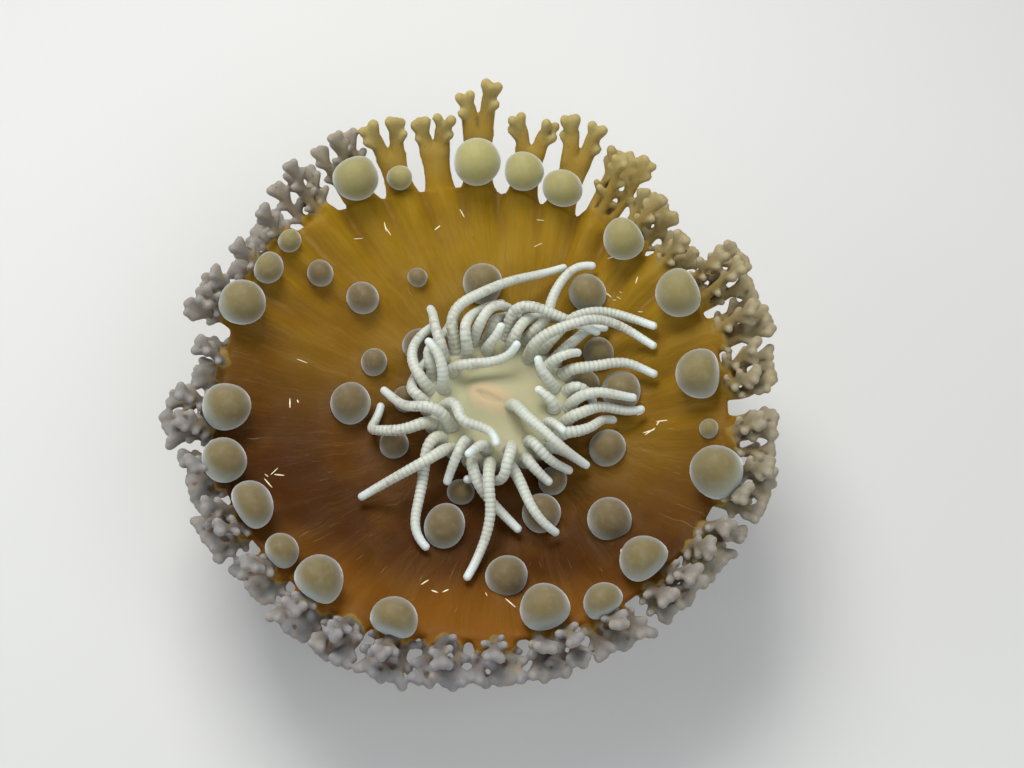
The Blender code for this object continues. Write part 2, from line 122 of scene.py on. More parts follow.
class Shader:
    """A material whose tree is built call by call, round one Principled BSDF."""

    def __init__(self, name: str) -> None:
        """Starts an empty tree.

        Args:
            name: The material's name.
        """
        self.material = bpy.data.materials.new(name)
        self.material.use_nodes = True
        self.tree = self.material.node_tree
        self.tree.nodes.clear()
        self.surface = self.add("ShaderNodeBsdfPrincipled")
        output = self.add("ShaderNodeOutputMaterial")
        self.tree.links.new(self.surface.outputs[0], output.inputs["Surface"])

    def add(self, kind: str, settings: dict | None = None, inputs: dict | None = None) -> bpy.types.Node:
        """Adds a node.

        Args:
            kind: The node's type.
            settings: Properties of the node, which are set first.
            inputs: Values, numbers, colours or sockets, by the input's name or place.

        Returns:
            The new node.
        """
        node = self.tree.nodes.new(kind)
        for key, setting in (settings or {}).items():
            setattr(node, key, setting)
        for key, given in (inputs or {}).items():
            given = given.socket if isinstance(given, Value) else given
            if isinstance(given, bpy.types.NodeSocket):
                self.tree.links.new(given, node.inputs[key])
            elif isinstance(given, tuple) and len(given) == 3 and node.inputs[key].type == "RGBA":
                node.inputs[key].default_value = (*given, 1.0)
            else:
                node.inputs[key].default_value = given
        return node

    def place(self) -> bpy.types.NodeSocket:
        """The object coordinates, in metres."""
        return self.add("ShaderNodeTexCoord").outputs["Object"]

    def scaled(self, vector: bpy.types.NodeSocket, by: tuple[float, float, float]) -> bpy.types.NodeSocket:
        """A vector multiplied part by part."""
        node = self.add("ShaderNodeVectorMath", {"operation": "MULTIPLY"}, {0: vector, 1: by})
        return node.outputs[0]

    def attribute(self, name: str) -> Value:
        """A number that the mesh holds for each point."""
        return Value(self, self.add("ShaderNodeAttribute", {"attribute_name": name}).outputs["Fac"])

    def attribute_vector(self, name: str) -> bpy.types.NodeSocket:
        """A vector that the mesh holds for each point."""
        return self.add("ShaderNodeAttribute", {"attribute_name": name}).outputs["Vector"]

    def noise(self, vector: Any, scale: float, detail: float = 2.0, roughness: float = 0.5) -> Value:
        """Cloudy noise from 0 to 1.

        Args:
            vector: Where the noise is read.
            scale: How fine it is, in cycles for each unit of the vector.
            detail: The number of finer layers.
            roughness: How strong the finer layers are.

        Returns:
            The noise value.
        """
        inputs = {"Vector": vector, "Scale": scale, "Detail": detail, "Roughness": roughness}
        return Value(self, self.add("ShaderNodeTexNoise", None, inputs).outputs["Fac"])

    def cells(self, vector: Any, scale: float) -> Value:
        """Distance to the nearest of many scattered points, in cells."""
        node = self.add("ShaderNodeTexVoronoi", None, {"Vector": vector, "Scale": scale})
        return Value(self, node.outputs["Distance"])

    def step(self, value: Value, low: float, high: float) -> Value:
        """A smooth step.

        Args:
            value: What is compared.
            low: Where the step is still 0.
            high: Where the step has come to 1.

        Returns:
            A value from 0 to 1.
        """
        inputs = {"Value": value, "From Min": low, "From Max": high}
        node = self.add("ShaderNodeMapRange", {"interpolation_type": "SMOOTHSTEP"}, inputs)
        return Value(self, node.outputs["Result"])

    def mix(self, factor: Any, first: Any, second: Any, blend: str = "MIX") -> bpy.types.NodeSocket:
        """Mixes two colours.

        Args:
            factor: How much of the second shows, from 0 to 1.
            first: A colour, or a socket that has one.
            second: The same, for the other colour.
            blend: The blend mode.

        Returns:
            The mixed colour.
        """
        settings = {"data_type": "RGBA", "blend_type": blend}
        node = self.add("ShaderNodeMix", settings, {0: factor, 6: first, 7: second})
        return node.outputs[2]

    def bump(self, height: Value, distance: float, strength: float = 1.0) -> None:
        """Roughens the surface's normal by a height field.

        Args:
            height: The height, from 0 to 1.
            distance: What a height of 1 stands for, in metres.
            strength: How much of it is used.
        """
        inputs = {"Height": height, "Distance": distance, "Strength": strength}
        node = self.add("ShaderNodeBump", None, inputs)
        self.tree.links.new(node.outputs[0], self.surface.inputs["Normal"])

    def finish(self, colour: Any, roughness: Any, **constants: Any) -> bpy.types.Material:
        """Sets what the surface looks like.

        Args:
            colour: The base colour, or a socket that has one.
            roughness: The roughness, as a value or a number.
            constants: Other sockets' values, with _ for a space in their names.

        Returns:
            The finished material.
        """
        for key, given in (("Base Color", colour), ("Roughness", roughness)):
            target = self.surface.inputs[key]
            given = given.socket if isinstance(given, Value) else given
            if isinstance(given, bpy.types.NodeSocket):
                self.tree.links.new(given, target)
            else:
                target.default_value = (*given, 1.0) if key == "Base Color" else given
        for key, constant in constants.items():
            self.surface.inputs[key.replace("_", " ")].default_value = constant
        return self.material


class SkinReading:
    """What the skin's finish reads at each place, worked out once for all its layers."""

    def __init__(self, s: Shader) -> None:
        """Adds the nodes that the layers share.

        Args:
            s: The skin's shader.
        """
        self.place = s.place()
        axes = s.add("ShaderNodeSeparateXYZ", None, {0: self.place})
        x, y, self.height = (Value(s, axes.outputs[k]) for k in range(3))
        self.share, self.tip, self.frond = s.attribute("share"), s.attribute("tip"), s.attribute("frond")
        self.grey, self.crown, self.foot = s.attribute("grey"), s.attribute("crown"), s.attribute("foot")
        self.ray = s.attribute_vector("ray")
        self.sunlit = s.step(y * 1000 + x * 300 + s.noise(self.place, 90, 2) * 8, -9.0, 20.0)
        self.shaded = s.step(x * -340 - y * 1000 + s.noise(self.place, 120, 2) * 5, -1.0, 12.0)
        # Where an orange glow is painted on the lower rim.
        self.painted_glow_mask = s.step(x * -120 - y * 1000 + s.noise(self.place, 150, 2) * 4, 12.5, 18.5)
        self.broad = s.noise(s.scaled(self.ray, (11.0, 11.0, 2.0)), 1.0, 3, 0.6)
        self.fine = s.noise(s.scaled(self.ray, (55.0, 55.0, 2.4)), 1.0, 2, 0.6)
        self.hair = s.noise(s.scaled(self.ray, (150.0, 150.0, 6.0)), 1.0, 1, 0.5)
        self.mottle = s.noise(self.place, 900, 3, 0.6)


@dataclass(frozen=True)
class SkinFinish:
    """The moist skin of the collar, fronds, column, foot and oral disc."""

    gold: Colour = (0.275, 0.160, 0.007)
    brown: Colour = (0.15, 0.062, 0.005)
    deep_brown_and_shade: Colour = (0.058, 0.018, 0.002)
    painted_rim_glow: Colour = (0.20, 0.075, 0.005)
    stalk: Colour = (0.37, 0.27, 0.08)
    knob_tan: Colour = (0.28, 0.20, 0.05)
    grey_shaded_knob: Colour = (0.135, 0.12, 0.11)
    tan_end: Colour = (0.43, 0.37, 0.16)
    grey_shaded_end: Colour = (0.31, 0.315, 0.33)
    speck: Colour = (0.10, 0.055, 0.03)
    painted_crease_shade: Colour = (0.10, 0.052, 0.022)
    scratch: Colour = (0.38, 0.31, 0.17)
    disc: Colour = (0.42, 0.41, 0.25)
    lips: Colour = (0.52, 0.41, 0.25)
    column: Colour = (0.30, 0.175, 0.075)
    foot: Colour = (0.42, 0.31, 0.19)
    foot_height: float = 0.0035  # metres over which the column pales to the foot

    def collar(self, s: Shader, at: SkinReading) -> bpy.types.NodeSocket:
        """The collar's colour: gold to deep brown, partly its own and partly painted sunlight and shade,
        with a painted rim glow, painted shade, streaks, folds and scratches.

        Args:
            s: The skin's shader.
            at: What is read at each place.

        Returns:
            The colour.
        """
        colour = s.mix(at.sunlit, self.brown, self.gold)
        colour = s.mix(at.shaded, colour, self.deep_brown_and_shade)
        # Painted orange glow on the lower rim.
        colour = s.mix(s.step(at.share, 0.5, 0.95) * at.painted_glow_mask, colour, self.painted_rim_glow)
        blotch = s.step(s.noise(at.place, 230, 3, 0.6), 0.45, 0.7)
        colour = s.mix(blotch * (1 - at.foot) * 0.3, colour, self.brown)
        streaks = at.broad * 0.5 + at.fine * 0.36 + at.hair * 0.24 - 0.55
        streaks = streaks * (1 - s.step(at.tip, 0.1, 0.5) * 0.7) * (1 - at.shaded * 0.6)
        colour = s.mix((streaks * 0.9).clamped(), colour, self.stalk)
        colour = s.mix((streaks * -1.1).clamped(), colour, self.deep_brown_and_shade)
        # Deeper brown towards the crown: partly the flesh's own colour, partly painted shade under the
        # tentacles.
        colour = s.mix((1 - s.step(at.share, 0.0, 0.3)) * 0.5, colour, self.deep_brown_and_shade)
        valley = s.attribute("fold") * -1
        shade = s.step(valley, 0.1, 0.9) * s.step(at.share, 0.45, 0.9) * at.sunlit * 0.45
        colour = s.mix(shade, colour, self.brown)
        line = s.step(valley, 0.86, 0.97) * s.step(at.share, 0.4, 0.75) * at.sunlit * 0.4
        colour = s.mix(line, colour, self.stalk)
        scratch = s.step(s.noise(s.scaled(at.ray, (120.0, 120.0, 7.0)), 1.0, 1), 0.7, 0.84)
        return s.mix(scratch * (1 - at.frond) * 0.35, colour, self.scratch)

    def fronds(self, s: Shader, at: SkinReading, colour: bpy.types.NodeSocket) -> bpy.types.NodeSocket:
        """The fronds' colour: mottled stalks, and darker knobs with pale ends, painted shade in their
        hollows, and grey knobs partly painted darker as shade.

        Args:
            s: The skin's shader.
            at: What is read at each place.
            colour: The colour elsewhere.

        Returns:
            The colour.
        """
        stalk = s.mix(at.mottle, self.stalk, self.gold)
        colour = s.mix(at.frond * s.step(at.tip, 0.0, 0.35) * 0.75, colour, stalk)
        # The grey knobs on the low side: partly their own grey, partly painted shade.
        knob = s.mix(at.grey, self.knob_tan, self.grey_shaded_knob)
        knob = s.mix(s.step(at.mottle, 0.45, 0.75) * 0.5, knob, self.stalk)
        colour = s.mix(at.frond * s.step(at.tip + at.grey * 0.22, 0.45, 0.8), colour, knob)
        dots = 1 - s.step(s.cells(at.place, 3400), 0.1, 0.34)
        colour = s.mix(dots * at.frond * s.step(at.tip, 0.3, 0.6) * 0.3, colour, self.speck)
        end = s.mix(at.grey, self.tan_end, self.grey_shaded_end)
        colour = s.mix(at.frond * s.step(at.tip, 0.7, 1.0) * (at.grey * 0.05 + 0.5), colour, end)
        hollow = s.attribute("hollow")
        bulge = at.frond * s.step(hollow * -1, 1.2, 3.2) * s.step(at.tip, 0.3, 0.7) * 0.3
        colour = s.mix(bulge, colour, end)
        # Painted shade in the hollows of the fronds.
        crease_shade_mask = at.frond * s.step(hollow, 0.1, 1.6) * s.step(at.tip, 0.1, 0.5) * 0.75
        return s.mix(crease_shade_mask, colour, self.painted_crease_shade)

    def underside(self, s: Shader, at: SkinReading) -> bpy.types.NodeSocket:
        """The colour of the column, and of the foot that it pales to.

        Args:
            s: The skin's shader.
            at: What is read at each place.

        Returns:
            The colour.
        """
        streaks = s.noise(s.scaled(at.ray, (9.0, 9.0, 0.0)), 1.0, 1)
        cloud = streaks * 0.6 + s.noise(at.place, 160, 3, 0.6) * 0.6
        below = s.mix(s.step(cloud, 0.4, 0.8), self.column, self.foot)
        return s.mix(1 - s.step(at.height, 0.0, self.foot_height), below, self.foot)

    def oral_disc(self, s: Shader, at: SkinReading) -> bpy.types.NodeSocket:
        """The colour of the oral disc and the lips.

        Args:
            s: The skin's shader.
            at: What is read at each place.

        Returns:
            The colour.
        """
        disc = s.mix(s.step(s.noise(at.place, 700, 2), 0.35, 0.7), self.disc, self.lips)
        return s.mix(s.step(s.attribute("lips"), 0.2, 0.9), s.mix(0.25, self.disc, disc), self.lips)

    def build(self) -> bpy.types.Material:
        """Builds the material.

        Returns:
            The material.
        """
        s = Shader("moist_skin")
        at = SkinReading(s)
        colour = self.fronds(s, at, self.collar(s, at))
        colour = s.mix(at.foot, colour, self.underside(s, at))
        colour = s.mix(at.crown, colour, self.oral_disc(s, at))
        grain = s.noise(at.place, 3200, 2, 0.6)
        relief = at.fine * 0.25 + at.hair * 0.12 + grain * 0.22 + at.mottle * at.frond * 0.5
        s.bump(relief, 0.00012, 0.8)
        rough = s.noise(at.place, 1500, 2) * 0.2 + 0.4
        return s.finish(
            colour, rough, Subsurface_Weight=0.35, Subsurface_Radius=(1.0, 0.45, 0.15),
            Subsurface_Scale=0.0009, Specular_IOR_Level=0.08,
        )


@dataclass(frozen=True)
class VesicleFinish:
    """The smooth, cloudy skin of a vesicle, paler round its middle, partly as a clear outer layer and partly
    as a painted bright limb.
    """

    brown: Colour = (0.130, 0.088, 0.023)
    olive_sunlit: Colour = (0.34, 0.31, 0.105)
    wall_and_limb_sheen: Colour = (0.50, 0.57, 0.51)
    seat: Colour = (0.20, 0.13, 0.05)

    def build(self) -> bpy.types.Material:
        """Builds the material.

        Returns:
            The material.
        """
        s = Shader("cloudy_vesicle")
        place = s.place()
        pole, olive_sunlit = s.attribute("pole"), s.attribute("olive_sunlit")
        cloud = s.noise(place, 420, 2, 0.5)
        # Yellower and brighter where sunlit: partly the vesicles' own tint, partly painted sunlight.
        colour = s.mix(olive_sunlit, self.brown, self.olive_sunlit)
        # Paler round the middle: partly the clear outer layer, partly a painted bright limb.
        colour = s.mix((1 - s.step(pole + cloud * 0.1, -0.1, 0.75)) * 0.5, colour, self.wall_and_limb_sheen)
        colour = s.mix(1 - s.step(pole, -0.85, -0.45), colour, self.seat)
        colour = s.mix(s.step(s.noise(place, 2600, 3), 0.45, 0.75) * 0.07, colour, self.wall_and_limb_sheen)
        s.bump(s.noise(place, 4200, 2), 0.00002, 0.5)
        return s.finish(
            colour, 0.5, Subsurface_Weight=0.6, Subsurface_Radius=(1.0, 0.75, 0.5),
            Subsurface_Scale=0.0014, Sheen_Weight=1.0, Sheen_Roughness=0.46,
            Sheen_Tint=(0.86, 0.93, 1.0, 1.0), Specular_IOR_Level=0.12, Coat_Weight=0.5, Coat_Roughness=0.65,
        )


@dataclass(frozen=True)
class TentacleFinish:
    """The glassy white skin of a tentacle, whiter at its tip, with painted shade in the narrow bands between
    its swollen rings.
    """

    groove_shade: Colour = (0.35, 0.355, 0.285)
    ring: Colour = (0.52, 0.545, 0.48)
    base: Colour = (0.40, 0.395, 0.28)
    tip: Colour = (0.62, 0.69, 0.66)
    fleck: Colour = (0.34, 0.31, 0.26)

    def build(self) -> bpy.types.Material:
        """Builds the material.

        Returns:
            The material.
        """
        s = Shader("glassy_tentacle")
        place = s.place()
        ring, along = s.attribute("ring"), s.attribute("along")
        # Painted shade in the narrow bands between the swollen rings.
        colour = s.mix(s.step(ring, -1.2, 0.0), self.groove_shade, self.ring)
        colour = s.mix((1 - s.step(along, 0.0, 0.4)) * 0.6, colour, self.base)
        flecked = s.step(s.noise(place, 260, 1), 0.48, 0.62) * s.step(s.noise(place, 2400, 1), 0.5, 0.64)
        colour = s.mix(flecked * 0.6 * (1 - s.step(along, 0.75, 0.9)), colour, self.fleck)
        colour = s.mix(s.step(along, 0.72, 1.0), colour, self.tip)
        s.bump(s.noise(place, 4500, 2), 0.00003, 0.6)
        return s.finish(
            colour, 0.4, Subsurface_Weight=0.8, Subsurface_Radius=(1.0, 0.9, 0.75),
            Subsurface_Scale=0.0009, Sheen_Weight=1.0, Sheen_Roughness=0.25, Specular_IOR_Level=0.35,
        )


@dataclass(frozen=True)
class GlintFinish:
    """The cream grains that lie here and there on the collar, partly standing for painted glints on its
    wrinkles.
    """

    cream: Colour = (0.80, 0.66, 0.36)
    pale: Colour = (0.92, 0.86, 0.66)

    def build(self) -> bpy.types.Material:
        """Builds the material."""
        s = Shader("cream_grain_and_glint")
        colour = s.mix(s.noise(s.place(), 2500, 2), self.cream, self.pale)
        return s.finish(colour, 0.3, Coat_Weight=0.3)


@dataclass(frozen=True)
class FloorFinish:
    """The plain pale floor."""

    colour: Colour = (0.62, 0.62, 0.60)

    def build(self) -> bpy.types.Material:
        """Builds the material."""
        s = Shader("pale_floor")
        shade = s.noise(s.place(), 25, 2)
        return s.finish(s.mix(shade, self.colour, tuple(c * 1.03 for c in self.colour)), 0.75)


# Geometry Nodes


class GeometryTree:
    """A Geometry Nodes tree that is built call by call, and applied to one object."""

    def __init__(self, name: str) -> None:
        """Starts an empty tree with a geometry going in and out.

        Args:
            name: The tree's name.
        """
        self.tree = bpy.data.node_groups.new(name, "GeometryNodeTree")
        self.tree.interface.new_socket("Geometry", in_out="INPUT", socket_type="NodeSocketGeometry")
        self.tree.interface.new_socket("Geometry", in_out="OUTPUT", socket_type="NodeSocketGeometry")
        self.values: dict[str, Any] = {}
        self.start = self.tree.nodes.new("NodeGroupInput")

    def named(self, name: str, kind: str, value: Any) -> bpy.types.NodeSocket:
        """Adds a named input and the value that the modifier gives it.

        Args:
            name: The input's name.
            kind: Its socket type, such as Float or Int.
            value: What the modifier sets it to.

        Returns:
            The socket in the tree that brings the value.
        """
        item = self.tree.interface.new_socket(name, in_out="INPUT", socket_type=f"NodeSocket{kind}")
        self.values[item.identifier] = value
        return next(socket for socket in self.start.outputs if socket.identifier == item.identifier)

    def add(self, kind: str, settings: dict | None = None, inputs: dict | None = None) -> bpy.types.Node:
        """Adds a node.

        Args:
            kind: The node's type.
            settings: Properties of the node, which are set first.
            inputs: Values or sockets, by the input's name or place.

        Returns:
            The new node.
        """
        node = self.tree.nodes.new(kind)
        for key, setting in (settings or {}).items():
            setattr(node, key, setting)
        for key, given in (inputs or {}).items():
            if isinstance(given, bpy.types.NodeSocket):
                self.tree.links.new(given, node.inputs[key])
            else:
                node.inputs[key].default_value = given
        return node

    def math(self, operation: str, *operands: Any) -> bpy.types.NodeSocket:
        """The result of one Math node on sockets or numbers."""
        return self.add("ShaderNodeMath", {"operation": operation}, dict(enumerate(operands))).outputs[0]

    def read(self, name: str, kind: str = "FLOAT") -> bpy.types.NodeSocket:
        """A named attribute of the geometry."""
        return self.add("GeometryNodeInputNamedAttribute", {"data_type": kind}, {"Name": name}).outputs[0]

    def store(self, geometry: bpy.types.NodeSocket, name: str, value: Any) -> bpy.types.NodeSocket:
        """Stores a number on each point of a geometry, under a name."""
        settings = {"data_type": "FLOAT", "domain": "POINT"}
        inputs = {"Geometry": geometry, "Name": name, "Value": value}
        return self.add("GeometryNodeStoreNamedAttribute", settings, inputs).outputs[0]

    def ball(self, segments: int, rings: int) -> bpy.types.NodeSocket:
        """A ball 1 mm across, with its segments and rings as named inputs."""
        around, down = self.named("Segments", "Int", segments), self.named("Rings", "Int", rings)
        inputs = {"Segments": around, "Rings": down, "Radius": 0.5}
        return self.add("GeometryNodeMeshUVSphere", None, inputs).outputs[0]

    def scatter(self, shape: bpy.types.NodeSocket, axis: str, way: str,
                scale: bpy.types.NodeSocket) -> bpy.types.NodeSocket:
        """Sets a shape on each of the points that come in.

        Args:
            shape: The shape's geometry.
            axis: The axis of the shape that is turned.
            way: The vector attribute that it is turned to.
            scale: The shape's scale.

        Returns:
            The shapes.
        """
        turned = self.add("FunctionNodeAlignRotationToVector", {"axis": axis},
                          {"Vector": self.read(way, "FLOAT_VECTOR")})
        inputs = {"Points": self.start.outputs[0], "Instance": shape, "Rotation": turned.outputs[0],
                  "Scale": scale}
        return self.add("GeometryNodeInstanceOnPoints", None, inputs).outputs[0]

    def apply(self, geometry: bpy.types.NodeSocket, source: bpy.types.Object, name: str,
              material: bpy.types.Material) -> bpy.types.Mesh:
        """Ends the tree in a plain, smooth, dressed mesh and evaluates it.

        Args:
            geometry: The last geometry of the tree.
            source: The object whose geometry goes in. It is removed.
            name: The new mesh's name.
            material: The finish of all its faces.

        Returns:
            The mesh, still in millimetres.
        """
        whole = self.add("GeometryNodeRealizeInstances", None, {0: geometry}).outputs[0]
        smooth = self.add("GeometryNodeSetShadeSmooth", None, {"Geometry": whole, "Shade Smooth": True})
        inputs = {"Geometry": smooth.outputs[0], "Material": self.named("Finish", "Material", material)}
        dressed = self.add("GeometryNodeSetMaterial", None, inputs)
        end = self.tree.nodes.new("NodeGroupOutput")
        self.tree.links.new(dressed.outputs[0], end.inputs[0])
        modifier = source.modifiers.new(name, "NODES")
        modifier.node_group = self.tree
        for identifier, value in self.values.items():
            modifier[identifier] = value
        mesh = evaluated_mesh(source)
        mesh.name = name
        bpy.data.objects.remove(source)
        return mesh


def evaluated_mesh(source: bpy.types.Object) -> bpy.types.Mesh:
    """A plain mesh of an object as its modifiers make it."""
    bpy.context.view_layer.update()
    graph = bpy.context.evaluated_depsgraph_get()
    return bpy.data.meshes.new_from_object(source.evaluated_get(graph))


def link(name: str, mesh: bpy.types.Mesh) -> bpy.types.Object:
    """A new object at the origin that shows a mesh."""
    made = bpy.data.objects.new(name, mesh)
    bpy.context.scene.collection.objects.link(made)
    return made


def finished(name: str, mesh: bpy.types.Mesh) -> bpy.types.Object:
    """Turns a mesh in millimetres into a piece of the model.

    Args:
        name: The piece's name.
        mesh: Its mesh, with its place in it.

    Returns:
        The piece, which rides on the model's one body.
    """
    mesh.transform(TO_METRES)
    mesh.shade_smooth()
    piece = link(name, mesh)
    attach(piece, BODY)
    faces = sum(len(polygon.vertices) - 2 for polygon in mesh.polygons)
    log.info("%s: %d triangles", name, faces)
    return piece


def read_points(mesh: bpy.types.Mesh) -> np.ndarray:
    """The places of a mesh's points, as rows of an array."""
    flat = np.zeros(len(mesh.vertices) * 3, np.float32)
    mesh.vertices.foreach_get("co", flat)
    return flat.reshape(-1, 3).astype(float)


def read_normals(mesh: bpy.types.Mesh) -> np.ndarray:
    """The normals of a mesh's points, as rows of an array."""
    flat = np.zeros(len(mesh.vertices) * 3, np.float32)
    mesh.vertex_normals.foreach_get("vector", flat)
    return flat.reshape(-1, 3).astype(float)


def read_values(mesh: bpy.types.Mesh, name: str) -> np.ndarray:
    """One of a mesh's number attributes, as an array."""
    flat = np.zeros(len(mesh.vertices), np.float32)
    mesh.attributes[name].data.foreach_get("value", flat)
    return flat.astype(float)


def read_vectors(mesh: bpy.types.Mesh, name: str) -> np.ndarray:
    """One of a mesh's vector attributes, as rows of an array."""
    flat = np.zeros(len(mesh.vertices) * 3, np.float32)
    mesh.attributes[name].data.foreach_get("vector", flat)
    return flat.reshape(-1, 3).astype(float)


def read_edges(mesh: bpy.types.Mesh) -> np.ndarray:
    """The edges of a mesh, as pairs of points."""
    flat = np.zeros(len(mesh.edges) * 2, np.int32)
    mesh.edges.foreach_get("vertices", flat)
    return flat.reshape(-1, 2)


def write_points(mesh: bpy.types.Mesh, points: np.ndarray) -> None:
    """Moves a mesh's points to new places."""
    mesh.vertices.foreach_set("co", points.astype(np.float32).ravel())
    mesh.update()


def write_values(mesh: bpy.types.Mesh, name: str, values: Sequence[float]) -> None:
    """Adds a number attribute to a mesh's points."""
    mesh.attributes.new(name, "FLOAT", "POINT").data.foreach_set("value", np.asarray(values, np.float32))


def write_vectors(mesh: bpy.types.Mesh, name: str, rows: Sequence[Sequence[float]]) -> None:
    """Adds a vector attribute to a mesh's points."""
    flat = np.asarray(rows, np.float32).ravel()
    mesh.attributes.new(name, "FLOAT_VECTOR", "POINT").data.foreach_set("vector", flat)


def rounded(rows: np.ndarray, times: int = 2) -> np.ndarray:
    """A course with its corners cut, so that it bends softly.

    Args:
        rows: What is known at each of its stations.
        times: How many times the corners are cut.

    Returns:
        More rows, with the first and the last ones kept.
    """
    for _ in range(times):
        near = 0.75 * rows[:-1] + 0.25 * rows[1:]
        far = 0.25 * rows[:-1] + 0.75 * rows[1:]
        between = np.stack([near, far], axis=1).reshape(-1, rows.shape[1])
        rows = np.vstack([rows[:1], between[1:-1], rows[-1:]])
    return rows


def smooth_step(value: Any, low: float, high: float) -> Any:
    """A smooth step from 0 at low to 1 at high."""
    share = np.clip((value - low) / (high - low), 0.0, 1.0)
    return share * share * (3 - 2 * share)


# Layout


def towards(angle: Any) -> np.ndarray:
    """The level unit vector at an angle, or one for each of an array of angles."""
    turn = np.radians(angle)
    return np.stack([np.cos(turn), np.sin(turn)], axis=-1)


def waves(angle: Any, terms: Iterable[tuple[float, float, float]]) -> Any:
    """The sum of waves round a turn, each given as waves in a turn, size and phase."""
    return sum(size * np.cos(np.radians(count * angle - phase)) for count, size, phase in terms)


@dataclass(frozen=True)
class Dish:
    """Where the collar's surface and its rim are."""

    oral_centre: tuple[float, float] = (1.7, -0.5)
    floor: float = 10.3
    depth: float = 2.9
    power: float = 1.8
    inner_radius: float = 5.2
    thick_inside: float = 1.7
    thick_rim: float = 1.15
    radius: float = 15.5
    rim_waves: tuple = ((1, 0.6, 200), (2, 0.8, 215), (3, 0.45, 285))
    lift_waves: tuple = ((3, 0.25, 60), (5, 0.2, 10))

    def rim_radius(self, angle: Any) -> Any:
        """Distance of the rim from the body's axis."""
        return self.radius + waves(angle, self.rim_waves)

    def height(self, angle: Any, share: Any) -> Any:
        """Height of the collar's upper face, at a share of the way to the rim."""
        return self.floor + self.depth * share**self.power + waves(angle, self.lift_waves) * share**2

    def point(self, angle: float, share: float, below: float = 0.0) -> Vector:
        """A point on the collar.

        Args:
            angle: The angle round the body.
            share: How far it is from the capitulum, 0, to the rim, 1.
            below: How deep it is under the upper face, in thicknesses.

        Returns:
            The point.
        """
        inner = np.array(self.oral_centre) + self.inner_radius * towards(angle)
        level = inner * (1 - share) + self.rim_radius(angle) * towards(angle) * share
        thick = self.thick_inside + (self.thick_rim - self.thick_inside) * share
        return Vector((*level, self.height(angle, share) - below * thick))

    def locate(self, points: np.ndarray) -> tuple[np.ndarray, np.ndarray]:
        """Angle and share of each of an array of points."""
        share = np.full(len(points), 0.5)
        for _ in range(8):
            offset = points[:, :2] - (1 - share)[:, None] * np.array(self.oral_centre)
            angle = np.degrees(np.arctan2(offset[:, 1], offset[:, 0]))
            reach = np.hypot(offset[:, 0], offset[:, 1]) - self.inner_radius
            share = np.clip(reach / (self.rim_radius(angle) - self.inner_radius), 0.0, 1.0)
        return angle, share


def web_reach(angle: float) -> float:
    """How far the collar's skin webs the fronds together beyond its rim."""
    angles = (0, 30, 55, 70, 110, 130, 160, 200, 235, 270, 320, 360)
    reaches = (2.6, 2.3, 0.9, -0.4, -0.4, 1.0, 2.0, 2.0, 1.6, 1.6, 2.1, 2.6)
    return float(np.interp(angle, angles, reaches)) + 0.2 * math.sin(angle * 1.7)


@dataclass(frozen=True)
class FrondPlan:
    """One frond: where it is, how far it reaches, how it forks, and the vesicle on its stalk."""

    angle: float
    reach: float
    branches: int
    diameter: float = 0.0
    out: float = 0.0


FROND_PLANS = tuple(FrondPlan(*row) for row in (
    (0, 5.4, 3, 3.3, 1.1), (11.5, 6.0, 2), (23, 6.2, 3, 3.3, 2.0), (35, 4.3, 2), (46, 5.0, 2, 3.0, 1.3),
    (57, 5.8, 2), (67.5, 5.9, 2, 2.9, 1.4), (78, 5.2, 2, 2.9, 1.4), (89.5, 6.2, 2, 3.3, 1.4),
    (99, 4.4, 2), (108.5, 4.6, 2, 1.8, 0.9), (118.5, 5.1, 2, 3.3, 1.8), (129.5, 4.7, 2),
    (140.5, 3.7, 2, 1.7, 1.1), (149.5, 3.5, 2, 2.2, 1.2), (161, 4.6, 3, 3.1, 1.7), (174, 3.2, 2),
    (187.5, 4.9, 3, 3.1, 1.3), (201, 3.9, 2, 2.9, 1.8), (213.5, 4.2, 3, 3.1, 1.2),
    (226, 3.7, 2, 2.3, 1.2), (237, 4.3, 2, 3.0, 1.4), (246, 4.8, 2), (255, 5.1, 2, 2.9, 1.9),
    (265, 4.8, 2), (275, 4.6, 2), (286, 4.7, 3, 3.1, 1.2), (297.5, 4.6, 2, 2.5, 2.1),
    (310.5, 4.4, 3, 3.1, 1.2), (323, 4.6, 3), (335.5, 5.4, 3, 3.4, 2.4), (347.5, 5.2, 2, 1.3, 1.0),
))

# Loose vesicles on the dish: angle, share of the way to the rim, diameter
LOOSE_VESICLES = (
    (4, 0.43, 2.8), (15, 0.14, 2.1), (27, 0.38, 2.3), (48, 0.62, 2.7), (93, 0.37, 2.8),
    (117, 0.51, 1.4), (138, 0.17, 2.4), (138, 0.59, 2.3), (141, 0.85, 1.8), (158, 0.34, 1.9),
    (174, 0.11, 1.8), (181, 0.41, 2.9), (203, 0.20, 2.1), (250, 0.13, 1.9), (253, 0.40, 2.8),
    (278, 0.75, 2.7), (293, 0.33, 2.6), (305, 0.13, 2.0), (313, 0.65, 2.8), (337, 0.33, 2.6),
)
LOOSE_SEAT = 0.55  # height of a loose vesicle's centre over the dish, in radii


# Skin


class FrondStyle(Enum):
    """How a frond's fingers grow: fanned out flat, or bunched in an upper and a lower tier."""

    PALM = 1
    BUNCH = 2


